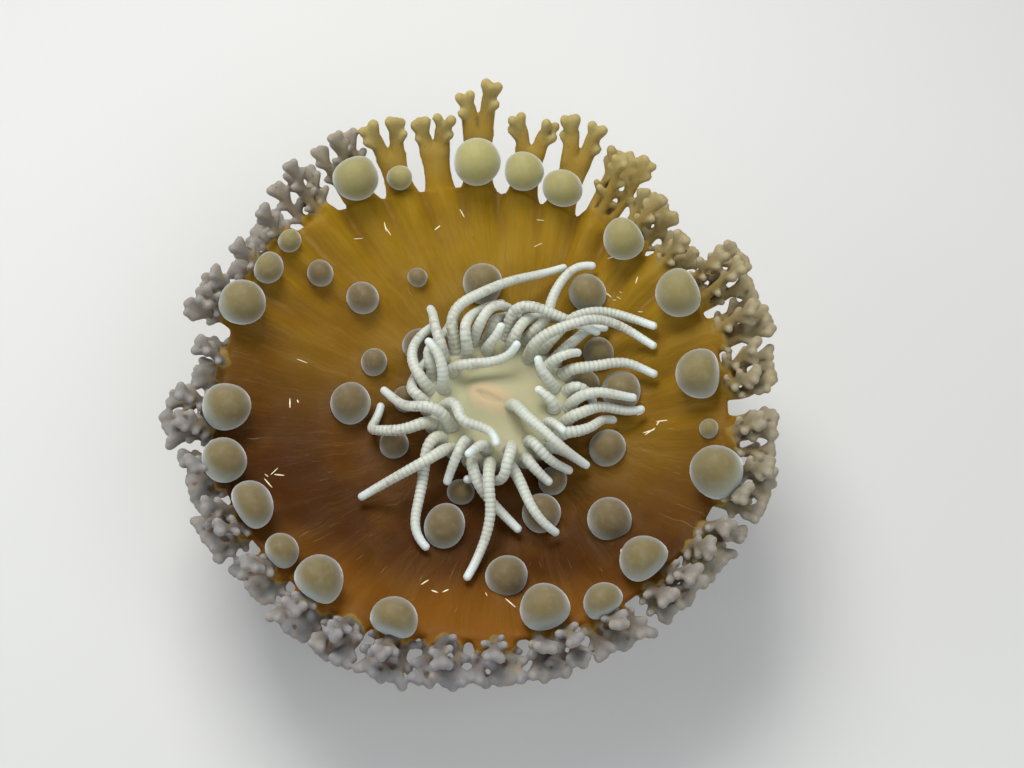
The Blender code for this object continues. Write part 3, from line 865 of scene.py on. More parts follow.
class Cage:
    """A mesh of flesh in the making, whose points hold what the finish reads."""

    NAMES = ("share", "frond", "tip", "grey", "crown", "foot", "lips", "fold")

    def __init__(self, start: bpy.types.Mesh | None = None) -> None:
        """Starts the mesh with its attributes.

        Args:
            start: An earlier mesh of flesh that it goes on from.
        """
        self.bm = bmesh.new()
        if start:
            self.bm.from_mesh(start)
        floats, vectors = self.bm.verts.layers.float, self.bm.verts.layers.float_vector
        self.numbers = {name: floats.get(name) or floats.new(name) for name in self.NAMES}
        self.ray = vectors.get("ray") or vectors.new("ray")

    def vert(self, point: Sequence[float], angle: float, **values: float) -> bmesh.types.BMVert:
        """Adds a point.

        Args:
            point: Its place.
            angle: The angle round the body that streaks follow there.
            values: The attributes that aren't 0.

        Returns:
            The new vertex.
        """
        made = self.bm.verts.new(point)
        for name, value in values.items():
            made[self.numbers[name]] = value
        made[self.ray] = Vector((*towards(angle), values.get("share", 0.0)))
        return made

    def bridge(self, low: Sequence, high: Sequence) -> None:
        """Joins two closed rings of vertices by faces."""
        for i in range(len(low)):
            j = (i + 1) % len(low)
            self.bm.faces.new((low[i], low[j], high[j], high[i]))

    def limb(self, stations: Sequence, upright: Vector, grey: float, sides: int = 12) -> None:
        """Adds a closed, round-ended limb.

        Args:
            stations: Place, width, thickness and nearness to a fingertip of each of its stations.
            upright: The way that its thickness goes.
            grey: How grey it is.
            sides: Number of its sides.
        """
        rows = rounded(np.array([(*place, wide, thick, tip) for place, wide, thick, tip in stations]))
        ways = np.gradient(rows[:, :3], axis=0)
        ways /= np.linalg.norm(ways, axis=1, keepdims=True)
        caps = []
        for end, sign in ((0, -1), (-1, 1)):
            for turn in (35, 65, 85):
                row = rows[end].copy()
                row[:3] += ways[end] * sign * row[4] / 2 * math.sin(math.radians(turn))
                row[3:5] *= math.cos(math.radians(turn))
                caps.append(row)
        rows = np.vstack([caps[2::-1], rows, caps[3:]])
        ways = np.vstack([ways[:1]] * 3 + [ways] + [ways[-1:]] * 3)
        across = np.cross(ways, np.array(upright))
        across /= np.linalg.norm(across, axis=1, keepdims=True)
        raised = np.cross(across, ways)
        turns = np.radians(np.arange(sides) * 360 / sides)
        rings = []
        for row, beside, above in zip(rows, across, raised):
            values = {"share": 1.0, "frond": 1.0, "tip": row[5], "grey": grey}
            places = row[:3] + np.outer(np.cos(turns), beside * row[3] / 2)
            places = places + np.outer(np.sin(turns), above * row[4] / 2)
            bearings = np.degrees(np.arctan2(places[:, 1], places[:, 0]))
            rings.append([self.vert(place, angle, **values) for place, angle in zip(places, bearings)])
        for low, high in zip(rings, rings[1:]):
            self.bridge(high, low)
        self.bm.faces.new(rings[0])
        self.bm.faces.new(reversed(rings[-1]))


@dataclass
class FrondShape:
    """Grows one forked frond of limbs that melt into the collar's rim."""

    dish: Dish
    plan: FrondPlan
    half_angle: float
    seed: int
    gap: float = 0.3
    rise: float = 0.36
    curl: float = 0.085
    trunk_wide: float = 1.9
    trunk_thick: float = 0.9
    palm_wide: float = 1.15
    branch_wide: float = 0.7
    lobe_wide: float = 0.6
    lobe_reach: float = 1.1
    # How far along its branch each lobe starts, how far it leans away from it, and its size
    lobe_places: tuple = (
        (0.2, 54, 0.8), (0.42, 46, 0.85), (0.62, 42, 0.95), (0.8, 36, 1.0), (0.95, 24, 1.1), (0.95, 24, 1.1),
        (0.92, 6, 1.15),
    )
    tier_lift: float = 1.05
    palm_angles: tuple = (60, 113)
    # How grey the fronds are, at angles round the body; the grey ones are also painted darker, as shade on
    # the low side
    greyness: tuple = (
        (0, 40, 60, 110, 117, 145, 270, 320, 360), (0.5, 0.3, 0.0, 0.0, 0.7, 0.85, 1.0, 0.8, 0.5),
    )

    def __post_init__(self) -> None:
        """Works out the frond's own frame."""
        self.outwards = Vector((*towards(self.plan.angle), 0))
        self.clockwise = Vector((self.outwards.y, -self.outwards.x, 0))
        self.rim = float(self.dish.rim_radius(self.plan.angle))
        self.spread = math.tan(math.radians(self.half_angle))
        self.draws = random.Random(self.seed)
        self.root = self.dish.point(self.plan.angle, 1.0, below=0.5) + self.outwards * self.gap
        self.web = min(web_reach(self.plan.angle), 0.4 * self.plan.reach)
        self.grey = float(np.interp(self.plan.angle, *self.greyness))
        first, last = self.palm_angles
        self.style = FrondStyle.PALM if first < self.plan.angle < last else FrondStyle.BUNCH

    def place(self, out: float, across: float = 0.0, lift: float = 0.0) -> Vector:
        """A point of the frond.

        Args:
            out: Distance beyond the rim.
            across: Place across the frond's wedge, from -1 to 1.
            lift: Height above the frond's middle line.

        Returns:
            The point.
        """
        room = (self.rim + out) * self.spread - self.gap / 2
        height = self.rise * out + self.curl * out * out + lift
        return self.root + self.outwards * out + self.clockwise * (across * room) + Vector((0, 0, height))

    def limb(self, flesh: Cage, stations: Sequence) -> None:
        """Adds a limb in the frond's own colours."""
        upright = self.clockwise.cross((self.place(self.plan.reach) - self.root).normalized())
        flesh.limb(stations, upright, self.grey)

    def grow(self, flesh: Cage) -> None:
        """Grows the whole frond.

        Args:
            flesh: The mesh that gets its limbs.
        """
        palm = self.style is FrondStyle.PALM
        fork = max((0.58 if palm else 0.3) * self.plan.reach, self.web + (0.6 if palm else 0.2))
        wide, thick = self.trunk_wide, self.trunk_thick
        hidden = self.dish.point(self.plan.angle, 0.9, below=0.5)
        fan = wide * 1.25 if palm else 1.5 * ((self.rim + fork) * self.spread - self.gap / 2)
        neck = wide * 1.15 if palm else max(wide * 1.15, fan * 0.9)
        middle = wide if palm else max(wide, fan * 0.9)
        self.limb(flesh, (
            (hidden, wide * 1.6, thick * 0.6, 0.0),
            (self.place(self.web - 0.3), wide * 1.6, thick * 1.22, 0.0),
            (self.place(self.web + 0.5), neck, thick * 1.08, 0.05),
            (self.place((self.web + fork) / 2 + 0.3), middle, thick, 0.2),
            (self.place(fork - 0.2), fan, thick * 0.9, 0.4),
        ))
        if palm:
            for k in range(self.plan.branches):
                self.grow_palm_branch(flesh, fork, (2 * k + 1) / self.plan.branches - 1)
        else:
            for tier, count in ((-1, 3), (1, self.plan.branches - 1)):
                for k in range(count):
                    self.grow_bunch_branch(flesh, fork, (2 * k + 1) / count - 1, tier)

    def grow_palm_branch(self, flesh: Cage, fork: float, across: float) -> None:
        """Grows one broad, flat branch with a fan of lobes at its end.

        Args:
            flesh: The mesh that gets its limbs.
            fork: How far beyond the rim the frond forks.
            across: The branch's place across the wedge.
        """
        draw = self.draws.uniform
        reach = self.plan.reach * draw(0.92, 1.0)
        wide = self.palm_wide * draw(0.9, 1.1)
        start = self.place(fork - 0.5, across * 0.65)
        middle = self.place((fork + reach - self.lobe_reach) / 2, across * 0.85, draw(-0.15, 0.15))
        ended = max(reach - self.lobe_reach * 1.1, fork + 0.8)
        end = self.place(ended, across + draw(-0.08, 0.08), draw(-0.2, 0.4))
        self.limb(flesh, ((start, wide, wide * 0.8, 0.3), (middle, wide * 0.95, wide * 0.75, 0.6),
                          (end, wide * 0.95, wide * 0.65, 0.8)))
        heading = (end - middle).normalized()
        raised = self.clockwise.cross(heading).normalized()
        count = self.draws.choice((2, 2, 3))
        for k in range(count):
            tilt = math.radians((2 * k / (count - 1) - 1) * draw(16, 25) + math.copysign(3, across))
            way = heading * math.cos(tilt) + self.clockwise * math.sin(tilt) + raised * draw(-0.15, 0.4)
            self.grow_lobe(flesh, end - heading * 0.3, way.normalized(), draw(1.15, 1.4))
        way = heading + self.clockwise * math.copysign(draw(0.4, 0.7), across) + raised * draw(0.0, 0.5)
        self.grow_lobe(flesh, start.lerp(end, draw(0.3, 0.6)), way.normalized(), draw(1.0, 1.2))

    def grow_bunch_branch(self, flesh: Cage, fork: float, across: float, tier: int) -> None:
        """Grows one slim branch with lobes all along it.

        Args:
            flesh: The mesh that gets its limbs.
            fork: How far beyond the rim the frond forks.
            across: The branch's place across the wedge.
            tier: -1 for the lower tier and 1 for the upper.
        """
        draw = self.draws.uniform
        reach = self.plan.reach * (draw(0.93, 1.0) if tier < 0 else draw(0.78, 0.92))
        lift = tier * self.tier_lift * draw(0.7, 1.2) + 0.2
        wide = self.branch_wide * draw(0.88, 1.1)
        start = self.place(fork - 0.6, across * 0.85, tier * 0.15)
        middle = self.place((fork + reach - self.lobe_reach) / 2, across * 0.95, lift * 0.7)
        end = self.place(max(reach - self.lobe_reach, fork + 0.7), across + draw(-0.1, 0.1), lift)
        middle += self.clockwise * draw(-0.2, 0.2)
        self.limb(flesh, ((start, wide * 1.1, wide, 0.3), (middle, wide, wide * 0.9, 0.6),
                          (end, wide * 0.85, wide * 0.8, 0.85)))
        heading = (end - start).normalized()
        raised = self.clockwise.cross(heading).normalized()
        side = self.draws.choice((-1, 1))
        for share, tilt, size in self.lobe_places:
            side = -side
            tilt = math.radians(tilt + draw(-5, 8))
            aside = (self.clockwise * side * draw(0.75, 1.0) + raised * draw(-0.5, 0.8)).normalized()
            way = heading * math.cos(tilt) + aside * math.sin(tilt)
            self.grow_lobe(flesh, start.lerp(end, share), way.normalized(), size * draw(0.88, 1.08))

    def grow_lobe(self, flesh: Cage, start: Vector, way: Vector, size: float) -> None:
        """Grows one blunt, round lobe, a little thicker at its tip.

        Args:
            flesh: The mesh that gets it.
            start: Where it starts, inside its branch.
            way: The way it goes.
            size: Its size, 1 for a common one.
        """
        wide = self.lobe_wide * size
        tip = start + way * (self.lobe_reach * size + 0.2 - wide / 2)
        self.limb(flesh, (
            (start, wide * 0.85, wide * 0.85, 0.7), (start.lerp(tip, 0.55), wide * 0.86, wide * 0.86, 0.85),
            (tip, wide * 1.02, wide * 1.02, 1.0),
        ))

    def vesicle(self) -> tuple[Vector, float, Vector]:
        """The centre, diameter and axis of the vesicle on the stalk."""
        foot = self.place(self.plan.out)
        raised = self.clockwise.cross((foot - self.root).normalized())
        return foot + raised * (self.plan.diameter * 0.425 + 0.45), self.plan.diameter, raised


@dataclass
class Skin:
    """The one skin of foot, column, collar, fronds and oral disc."""

    dish: Dish
    finish: SkinFinish
    root_share: float = 0.62
    subdivisions: int = 2
    dish_shares: tuple = (0.82, 0.6, 0.38, 0.16, 0.0)
    under_shares: tuple = (0.8, 0.5, 0.26)
    # Radius, height and share of the oral centre's offset, from under the collar to the floor
    column_rings: tuple = (
        (7.1, 8.2, 0.5), (6.1, 6.4, 0.35), (5.9, 4.6, 0.2), (6.2, 2.7, 0.1), (6.9, 1.5, 0.0),
        (8.05, 0.75, 0.0), (8.0, 0.05, 0.0), (7.5, 0.0, 0.0), (3.5, 0.0, 0.0),
    )
    # Radius and height of the capitulum's and the crown's rings, about the oral centre
    crown_rings: tuple = ((4.75, 10.5), (4.75, 11.3), (5.0, 12.1), (4.5, 12.55), (3.6, 12.35))
    # Half length, half width and height of the oral disc's rings, from its edge into the mouth
    disc_rings: tuple = (
        (3.0, 2.8, 12.0), (2.0, 1.5, 12.15), (1.35, 0.55, 12.6), (1.05, 0.14, 12.45), (0.95, 0.06, 12.1),
    )
    mouth_offset: tuple[float, float] = (-0.9, 0.25)
    lip_rings: int = 3  # how many of the disc's rings, from the mouth outwards, are lips
    mouth_angle: float = -26
    fold_height: float = 0.2
    voxel: float = 0.13
    shape_passes: int = 1
    value_passes: int = 3
    hollow_passes: int = 3
    sliver: float = 0.004
    most_faces: int = 190_000
    shapes: list[FrondShape] = field(default_factory=list)
    surface: BVHTree | None = None  # the finished skin, in millimetres, for what lies on it

    def column_angles(self) -> list[float]:
        """The angles of the cage's columns, two for each frond, where its root starts and ends."""
        angles = []
        for shape in self.shapes:
            half = math.degrees(shape.spread * self.root_share)
            angles += [shape.plan.angle - half, shape.plan.angle + half]
        return angles

    def plan_fronds(self) -> None:
        """Sets up the shape of each frond, in its wedge between its neighbours."""
        count = len(FROND_PLANS)
        for i, plan in enumerate(FROND_PLANS):
            before = plan.angle - FROND_PLANS[i - 1].angle
            after = FROND_PLANS[(i + 1) % count].angle - plan.angle
            half = min(before % 360, after % 360) / 2
            self.shapes.append(FrondShape(self.dish, plan, half, i))

    def grow_cage(self) -> Cage:
        """Builds the whole cage, from the mouth over the rim and down to the foot.

        Returns:
            The cage, closed all round.
        """
        cage = Cage()
        self.plan_fronds()
        angles = self.column_angles()
        turns = towards(np.array(angles))
        centre = np.array(self.dish.oral_centre)

        def round_ring(radius: float, height: float, middle: np.ndarray, **values: float) -> list:
            """A level ring of vertices about a middle."""
            return [cage.vert((*(middle + radius * turn), height), angle, **values)
                    for angle, turn in zip(angles, turns)]

        def dish_ring(share: float, below: float = 0.0, foot: float = 0.0) -> list:
            """A ring of vertices on the collar's upper or lower face."""
            return [cage.vert(self.dish.point(angle, share, below), angle, share=share, foot=foot)
                    for angle in angles]

        rings = []
        along, beside = towards(self.mouth_angle), towards(self.mouth_angle + 90)
        widest = self.disc_rings[0][0]
        for place, (half_long, half_wide, height) in enumerate(reversed(self.disc_rings)):
            middle = centre + np.array(self.mouth_offset) * (widest - half_long) / widest
            values = {"crown": 1.0, "lips": 1.0 if place < self.lip_rings else 0.0}
            ring = []
            for angle in angles:
                a, b = towards(angle - self.mouth_angle)
                point = middle + a * half_long * along + b * half_wide * beside
                ring.append(cage.vert((*point, height), angle, **values))
            rings.append(ring)
        for radius, height in reversed(self.crown_rings):
            shade = float(smooth_step(height, 10.6, 12.2))
            rings.append(round_ring(radius, height, centre, crown=shade))
        rings += [dish_ring(share) for share in reversed(self.dish_shares)]
        rings.append(dish_ring(1.0))
        rings.append(self.web_ring(cage, angles, 0.5))
        for low, high in zip(rings, rings[1:]):
            cage.bridge(low, high)
        cage.bm.faces.new(reversed(rings[0]))

        under = [self.web_ring(cage, angles, -0.5), dish_ring(1.0, below=1.0)]
        under += [dish_ring(share, below=1.0, foot=0.6) for share in self.under_shares]
        for radius, height, share in self.column_rings:
            under.append(round_ring(radius, height, centre * share, foot=1.0))
        for low, high in zip(under, under[1:]):
            cage.bridge(low, high)
        cage.bm.faces.new(reversed(under[-1]))
        cage.bridge(rings[-1], under[0])
        bmesh.ops.recalc_face_normals(cage.bm, faces=cage.bm.faces)
        return cage

    def web_ring(self, cage: Cage, angles: Sequence[float], side: float) -> list:
        """The ring of vertices at the edge of the web between the fronds.

        Args:
            cage: The cage that gets the vertices.
            angles: The angles of its columns.
            side: 0.5 for the upper edge and -0.5 for the lower.

        Returns:
            The vertices, one for each angle.
        """
        ring = []
        for place, angle in enumerate(angles):
            shape = self.shapes[place // 2]
            out = shape.web + shape.gap
            rim = self.dish.point(angle, 1.0, below=0.5)
            height = shape.rise * out + shape.curl * out * out + side * self.dish.thick_rim * 0.95
            point = rim + Vector((*(towards(angle) * out), height))
            ring.append(cage.vert(point, angle, share=1.0, frond=0.35))
        return ring

    def folds(self, angle: np.ndarray) -> np.ndarray:
        """Height of the collar's folds, 1 in line with a frond and -1 between two."""
        middles = np.array([plan.angle for plan in FROND_PLANS])
        away = np.abs((angle[:, None] - middles[None] + 180) % 360 - 180)
        halves = np.array([shape.half_angle for shape in self.shapes])
        nearest = (away / halves[None]).min(axis=1)
        return np.cos(np.pi * np.clip(nearest, 0, 1))

    def sculpt(self, mesh: bpy.types.Mesh) -> None:
        """Moves the fine mesh's points for folds, furrows, vesicle seats and lumps.

        Args:
            mesh: The subdivided skin, in millimetres.
        """
        points, normals = read_points(mesh), read_normals(mesh)
        frond = read_values(mesh, "frond")
        foot, crown = read_values(mesh, "foot"), read_values(mesh, "crown")
        angle, share = self.dish.locate(points)
        collar = (1 - smooth_step(frond, 0.0, 0.6)) * (1 - foot) * (1 - crown)
        fold = self.folds(angle) * smooth_step(share, 0.4, 0.9) * (points[:, 2] > self.dish.floor - 1)
        mesh.attributes["fold"].data.foreach_set("value", (fold * (1 - foot)).astype(np.float32))
        height = self.fold_height * (0.6 + 0.8 * smooth_step(points[:, 1], 0.0, 12.0))
        lift = height * self.folds(angle) * smooth_step(share, 0.45, 1.0)
        lift += 0.03 * np.cos(np.radians(angle * 23 + 60 * share)) * smooth_step(share, 0.2, 0.5)
        move = np.zeros(len(points))
        lumps = np.array([noise.noise(Vector(p) * 0.45) for p in points])
        move += collar * np.sign(normals[:, 2]) * (lift + 0.2 * lumps)
        standing = foot * smooth_step(points[:, 2], 0.1, 0.9)
        turn = np.degrees(np.arctan2(points[:, 1], points[:, 0]))
        furrows = np.abs(np.sin(np.radians(turn * 12 + 40 * lumps))) ** 0.6 - 0.6
        move += standing * (0.35 * furrows + 0.35 * lumps) * (1 - smooth_step(points[:, 2], 7.2, 8.6))
        for start, part, diameter in LOOSE_VESICLES:
            spot = np.array(self.dish.point(start, part))
            near = np.linalg.norm(points - spot, axis=1) / (diameter * 0.62)
            move += np.where(normals[:, 2] > 0, 0.3 * np.exp(-near**4), 0) * collar
        points += normals * move[:, None]
        points[:, 2] = np.maximum(points[:, 2], 0.0)
        write_points(mesh, points)

    def modified(self, mesh: bpy.types.Mesh, kind: str, **settings: Any) -> bpy.types.Mesh:
        """What a modifier makes of a mesh.

        Args:
            mesh: The mesh, which is used up.
            kind: The modifier's type.
            settings: Its settings.

        Returns:
            The new mesh.
        """
        source = link("flesh", mesh)
        modifier = source.modifiers.new("work", kind)
        for name, value in settings.items():
            setattr(modifier, name, value)
        made = evaluated_mesh(source)
        bpy.data.objects.remove(source)
        return made

    def relax(self, values: np.ndarray, edges: np.ndarray, steps: Sequence[float]) -> np.ndarray:
        """Evens out the values of a mesh's points between neighbours.

        Args:
            values: The values, one row for each point.
            edges: The mesh's edges, as pairs of points.
            steps: How far each pass goes towards the neighbours' mean, less than 0 to go back.

        Returns:
            The new values.
        """
        count = len(values)
        ends = np.concatenate([edges[:, 0], edges[:, 1]])
        others = np.concatenate([edges[:, 1], edges[:, 0]])
        near = np.maximum(np.bincount(ends, minlength=count), 1)[:, None]
        for step in steps:
            sums = [np.bincount(ends, weights=column[others], minlength=count) for column in values.T]
            values = values + step * (np.stack(sums, axis=1) / near - values)
        return values

    def carry(self, source: bpy.types.Mesh, target: bpy.types.Mesh) -> None:
        """Carries the attributes that the finish reads from one mesh over to another.

        Args:
            source: The mesh that has them.
            target: The mesh that gets them, each point from the nearest place.
        """
        source.calc_loop_triangles()
        corners = np.zeros(len(source.loop_triangles) * 3, np.int32)
        source.loop_triangles.foreach_get("vertices", corners)
        corners = corners.reshape(-1, 3)
        points = read_points(source)
        tree = BVHTree.FromPolygons(points.tolist(), corners.tolist())
        hits = [tree.find_nearest(place) for place in read_points(target)]
        triangles = corners[[hit[2] for hit in hits]]
        places = np.array([hit[0] for hit in hits])
        a, b, c = (points[triangles[:, k]] for k in range(3))
        whole = np.cross(b - a, c - a)
        size = (whole * whole).sum(axis=1) + 1e-18
        weight_b = (np.cross(places - a, c - a) * whole).sum(axis=1) / size
        weight_c = (np.cross(b - a, places - a) * whole).sum(axis=1) / size
        weights = np.stack([1 - weight_b - weight_c, weight_b, weight_c], axis=1)[..., None]
        columns = [read_values(source, name)[:, None] for name in Cage.NAMES] + [read_vectors(source, "ray")]
        values = (np.hstack(columns)[triangles] * weights).sum(axis=1)
        values = self.relax(values, read_edges(target), (0.5,) * self.value_passes)
        for k, name in enumerate(Cage.NAMES):
            write_values(target, name, values[:, k])
        write_vectors(target, "ray", values[:, len(Cage.NAMES):])

    def clean(self, mesh: bpy.types.Mesh) -> None:
        """Takes slivers and specks out of a mesh, and leaves one shell of triangles.

        Args:
            mesh: The thinned mesh, in millimetres.
        """
        bm = bmesh.new()
        bm.from_mesh(mesh)
        bmesh.ops.remove_doubles(bm, verts=bm.verts, dist=self.sliver)
        bmesh.ops.dissolve_degenerate(bm, edges=bm.edges, dist=self.sliver)
        bmesh.ops.triangulate(bm, faces=bm.faces)
        left, islands = set(bm.verts), []
        while left:
            island = [left.pop()]
            for vert in island:
                near = {edge.other_vert(vert) for edge in vert.link_edges} & left
                left -= near
                island += near
            islands.append(island)
        shell = max(islands, key=len)
        specks = [vert for island in islands if island is not shell for vert in island]
        bmesh.ops.delete(bm, geom=specks, context="VERTS")
        bm.to_mesh(mesh)
        bm.free()

    def mark_hollows(self, mesh: bpy.types.Mesh) -> None:
        """Writes how hollow the skin is at each of its points, less than 0 where it bulges.

        Args:
            mesh: The finished mesh, in millimetres.
        """
        points, edges = read_points(mesh), read_edges(mesh)
        apart = self.relax(points, edges, (1.0,)) - points
        squares = ((points[edges[:, 0]] - points[edges[:, 1]]) ** 2).sum(axis=1)
        ends, count = edges.ravel(), len(points)
        near = np.maximum(np.bincount(ends, minlength=count), 1)
        squares = np.bincount(ends, weights=np.repeat(squares, 2), minlength=count) / near
        bend = 2 * (apart * read_normals(mesh)).sum(axis=1) / (squares + 1e-6)
        bend = self.relax(bend[:, None], edges, (0.6,) * self.hollow_passes)[:, 0]
        write_values(mesh, "hollow", bend)

    def build(self) -> bpy.types.Object:
        """Builds the skin and dresses it.

        Returns:
            The piece.
        """
        cage = self.grow_cage()
        mesh = bpy.data.meshes.new("skin")
        cage.bm.to_mesh(mesh)
        cage.bm.free()
        smooth = self.modified(mesh, "SUBSURF", levels=self.subdivisions)
        self.sculpt(smooth)
        grown = Cage(smooth)
        for shape in self.shapes:
            shape.grow(grown)
        parts = bpy.data.meshes.new("flesh_parts")
        grown.bm.to_mesh(parts)
        grown.bm.free()
        whole = self.modified(parts.copy(), "REMESH", mode="VOXEL", voxel_size=self.voxel)
        points = self.relax(read_points(whole), read_edges(whole), (0.6, -0.45) * self.shape_passes)
        points[:, 2] = np.maximum(points[:, 2], 0.0)
        write_points(whole, points)
        faces = 2 * len(whole.polygons)
        log.info("flesh before it is thinned: %d triangles", faces)
        fine = self.modified(whole, "DECIMATE", ratio=min(1.0, self.most_faces / faces))
        self.clean(fine)
        self.carry(parts, fine)
        self.mark_hollows(fine)
        corners = [polygon.vertices for polygon in fine.polygons]
        self.surface = BVHTree.FromPolygons([vertex.co for vertex in fine.vertices], corners)
        fine.materials.append(self.finish.build())
        piece = finished("skin", fine)
        flesh = [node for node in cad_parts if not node.startswith("tentacles")]
        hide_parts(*flesh)
        return piece


# Vesicles


@dataclass
class Vesicles:
    """The round vesicles on the fronds' stalks and loose on the dish."""

    dish: Dish
    finish: VesicleFinish
    shapes: list[FrondShape]
    segments: int = 30
    rings: int = 20
    oval: float = 0.07
    flat: float = 0.3
    drift: float = 0.12
    seed: int = 5
    bright_side: float = 50  # the way in which the loose ones are painted yellower and brighter, partly their own tint and partly painted sunlight
    # How yellow and bright the vesicles on the stalks are painted, at angles round the body: partly their
    # own tint, partly painted sunlight
    sunlit_oliveness: tuple = ((0, 45, 90, 118, 145, 200, 320, 360), (0.25, 0.6, 1.0, 0.65, 0.3, 0.1, 0.15, 0.25))

    def places(self) -> list[dict[str, Any]]:
        """What is known of each vesicle, by name."""
        found = []
        for shape in self.shapes:
            if shape.plan.diameter:
                centre, diameter, axis = shape.vesicle()
                olive_sunlit = float(np.interp(shape.plan.angle, *self.sunlit_oliveness))
                found.append({"centre": centre, "diameter": diameter, "axis": axis, "side": shape.outwards,
                              "flat": self.flat, "olive_sunlit": olive_sunlit})
        for angle, share, diameter in LOOSE_VESICLES:
            centre = self.dish.point(angle, share) + Vector((0, 0, LOOSE_SEAT * diameter / 2))
            olive_sunlit = 0.16 * max(0.0, math.cos(math.radians(angle - self.bright_side)))
            found.append({"centre": centre, "diameter": diameter, "axis": Vector((0, 0, 1)),
                          "side": Vector((*towards(angle), 0)), "flat": 0.0, "olive_sunlit": olive_sunlit})
        draws = random.Random(self.seed)
        for vesicle in found:
            vesicle["oval"] = draws.uniform(-self.oval, self.oval)
            vesicle["flat"] *= draws.uniform(0.2, 1.2)
        return found

    def build(self) -> bpy.types.Object:
        """Sets a ball at each place, dents it a little and dresses it.

        Returns:
            The piece.
        """
        places = self.places()
        mesh = bpy.data.meshes.new("vesicle_places")
        mesh.from_pydata([vesicle["centre"] for vesicle in places], [], [])
        for name in ("centre", "axis", "side"):
            write_vectors(mesh, name, [vesicle[name] for vesicle in places])
        for name in ("diameter", "flat", "oval", "olive_sunlit"):
            write_values(mesh, name, [vesicle[name] for vesicle in places])
        source = link("vesicle_places", mesh)
        tree = GeometryTree("vesicles")
        ball = tree.ball(self.segments, self.rings)
        position = tree.add("GeometryNodeInputPosition").outputs[0]
        height = tree.add("ShaderNodeSeparateXYZ", None, {0: position})
        marked = tree.store(ball, "pole", tree.math("MULTIPLY", height.outputs[2], 2.0))
        balls = tree.scatter(marked, "Z", "axis", tree.read("diameter"))
        mesh = tree.apply(balls, source, "vesicles", self.finish.build())
        self.shape(mesh)
        return finished("vesicles", mesh)

    def shape(self, mesh: bpy.types.Mesh) -> None:
        """Makes each ball a little oval, and flattens it where the frond's fingers press on it.

        Args:
            mesh: The balls, in millimetres.
        """
        points = read_points(mesh)
        centre, side = read_vectors(mesh, "centre"), read_vectors(mesh, "side")
        radius = read_values(mesh, "diameter")[:, None] / 2
        flat, oval = read_values(mesh, "flat")[:, None], read_values(mesh, "oval")[:, None]
        offset = (points - centre) / radius
        out = (offset * side).sum(axis=1, keepdims=True)
        pressed = flat * np.clip(out, 0.0, 1.0) ** 2
        offset += side * (out * oval - pressed)
        noise.seed_set(self.seed)  # the clock seeds noise_vector otherwise, and each run would differ
        drift = np.array([noise.noise_vector(Vector(place) * 0.35) for place in points])
        write_points(mesh, centre + offset * radius + drift * self.drift)


# Grains


@dataclass
class Grains:
    """The straight cream grains that lie in small heaps on the collar, partly standing for painted glints.
    """

    skin: Skin
    finish: GlintFinish
    # Angle, share of the way to the rim and number of grains of each heap
    heaps: tuple = (
        (96, 0.81, 2), (74, 0.68, 2), (38, 0.84, 7), (31, 0.8, 3), (347, 0.70, 5), (309, 0.92, 4),
        (277, 0.87, 5), (256, 0.9, 3), (205, 0.93, 4), (179, 0.6, 4), (118, 0.88, 3),
    )
    scatter: float = 0.75
    longest: float = 1.1
    wide: float = 0.1
    thick: float = 0.06
    segments: int = 8
    rings: int = 6
    seed: int = 11

    def places(self) -> list[tuple[Vector, Vector, float]]:
        """The place, heading and length of each grain."""
        draws = random.Random(self.seed)
        found = []
        for angle, share, count in self.heaps:
            heading = draws.uniform(0, 180)
            for _ in range(count):
                spot = self.skin.dish.point(angle, share)
                spot += Vector((draws.gauss(0, self.scatter), draws.gauss(0, self.scatter), 10))
                place, normal, _, _ = self.skin.surface.ray_cast(spot, Vector((0, 0, -1)))
                way = Vector((*towards(heading + draws.gauss(0, 35)), 0))
                way = (way - normal * way.dot(normal)).normalized()
                length = draws.uniform(0.25, 1.0) * self.longest
                found.append((place + normal * self.thick * 0.2, way, length))
        return found

    def build(self) -> bpy.types.Object:
        """Scatters the grains and dresses them.

        Returns:
            The piece.
        """
        places = self.places()
        mesh = bpy.data.meshes.new("grain_places")
        mesh.from_pydata([place for place, _, _ in places], [], [])
        write_vectors(mesh, "way", [way for _, way, _ in places])
        write_vectors(mesh, "size", [(length, self.wide, self.thick) for _, _, length in places])
        source = link("grain_places", mesh)
        tree = GeometryTree("grains")
        ball = tree.ball(self.segments, self.rings)
        grains = tree.scatter(ball, "X", "way", tree.read("size", "FLOAT_VECTOR"))
        mesh = tree.apply(grains, source, "grains", self.finish.build())
        return finished("grains", mesh)


# Tentacles


class Storey(Enum):
    """How soon a tentacle turns over to droop, so that three lie over one another."""

    LOW = 3.2
    MIDDLE = 2.3
    HIGH = 1.6


STOREYS = (Storey.LOW, Storey.MIDDLE, Storey.HIGH)

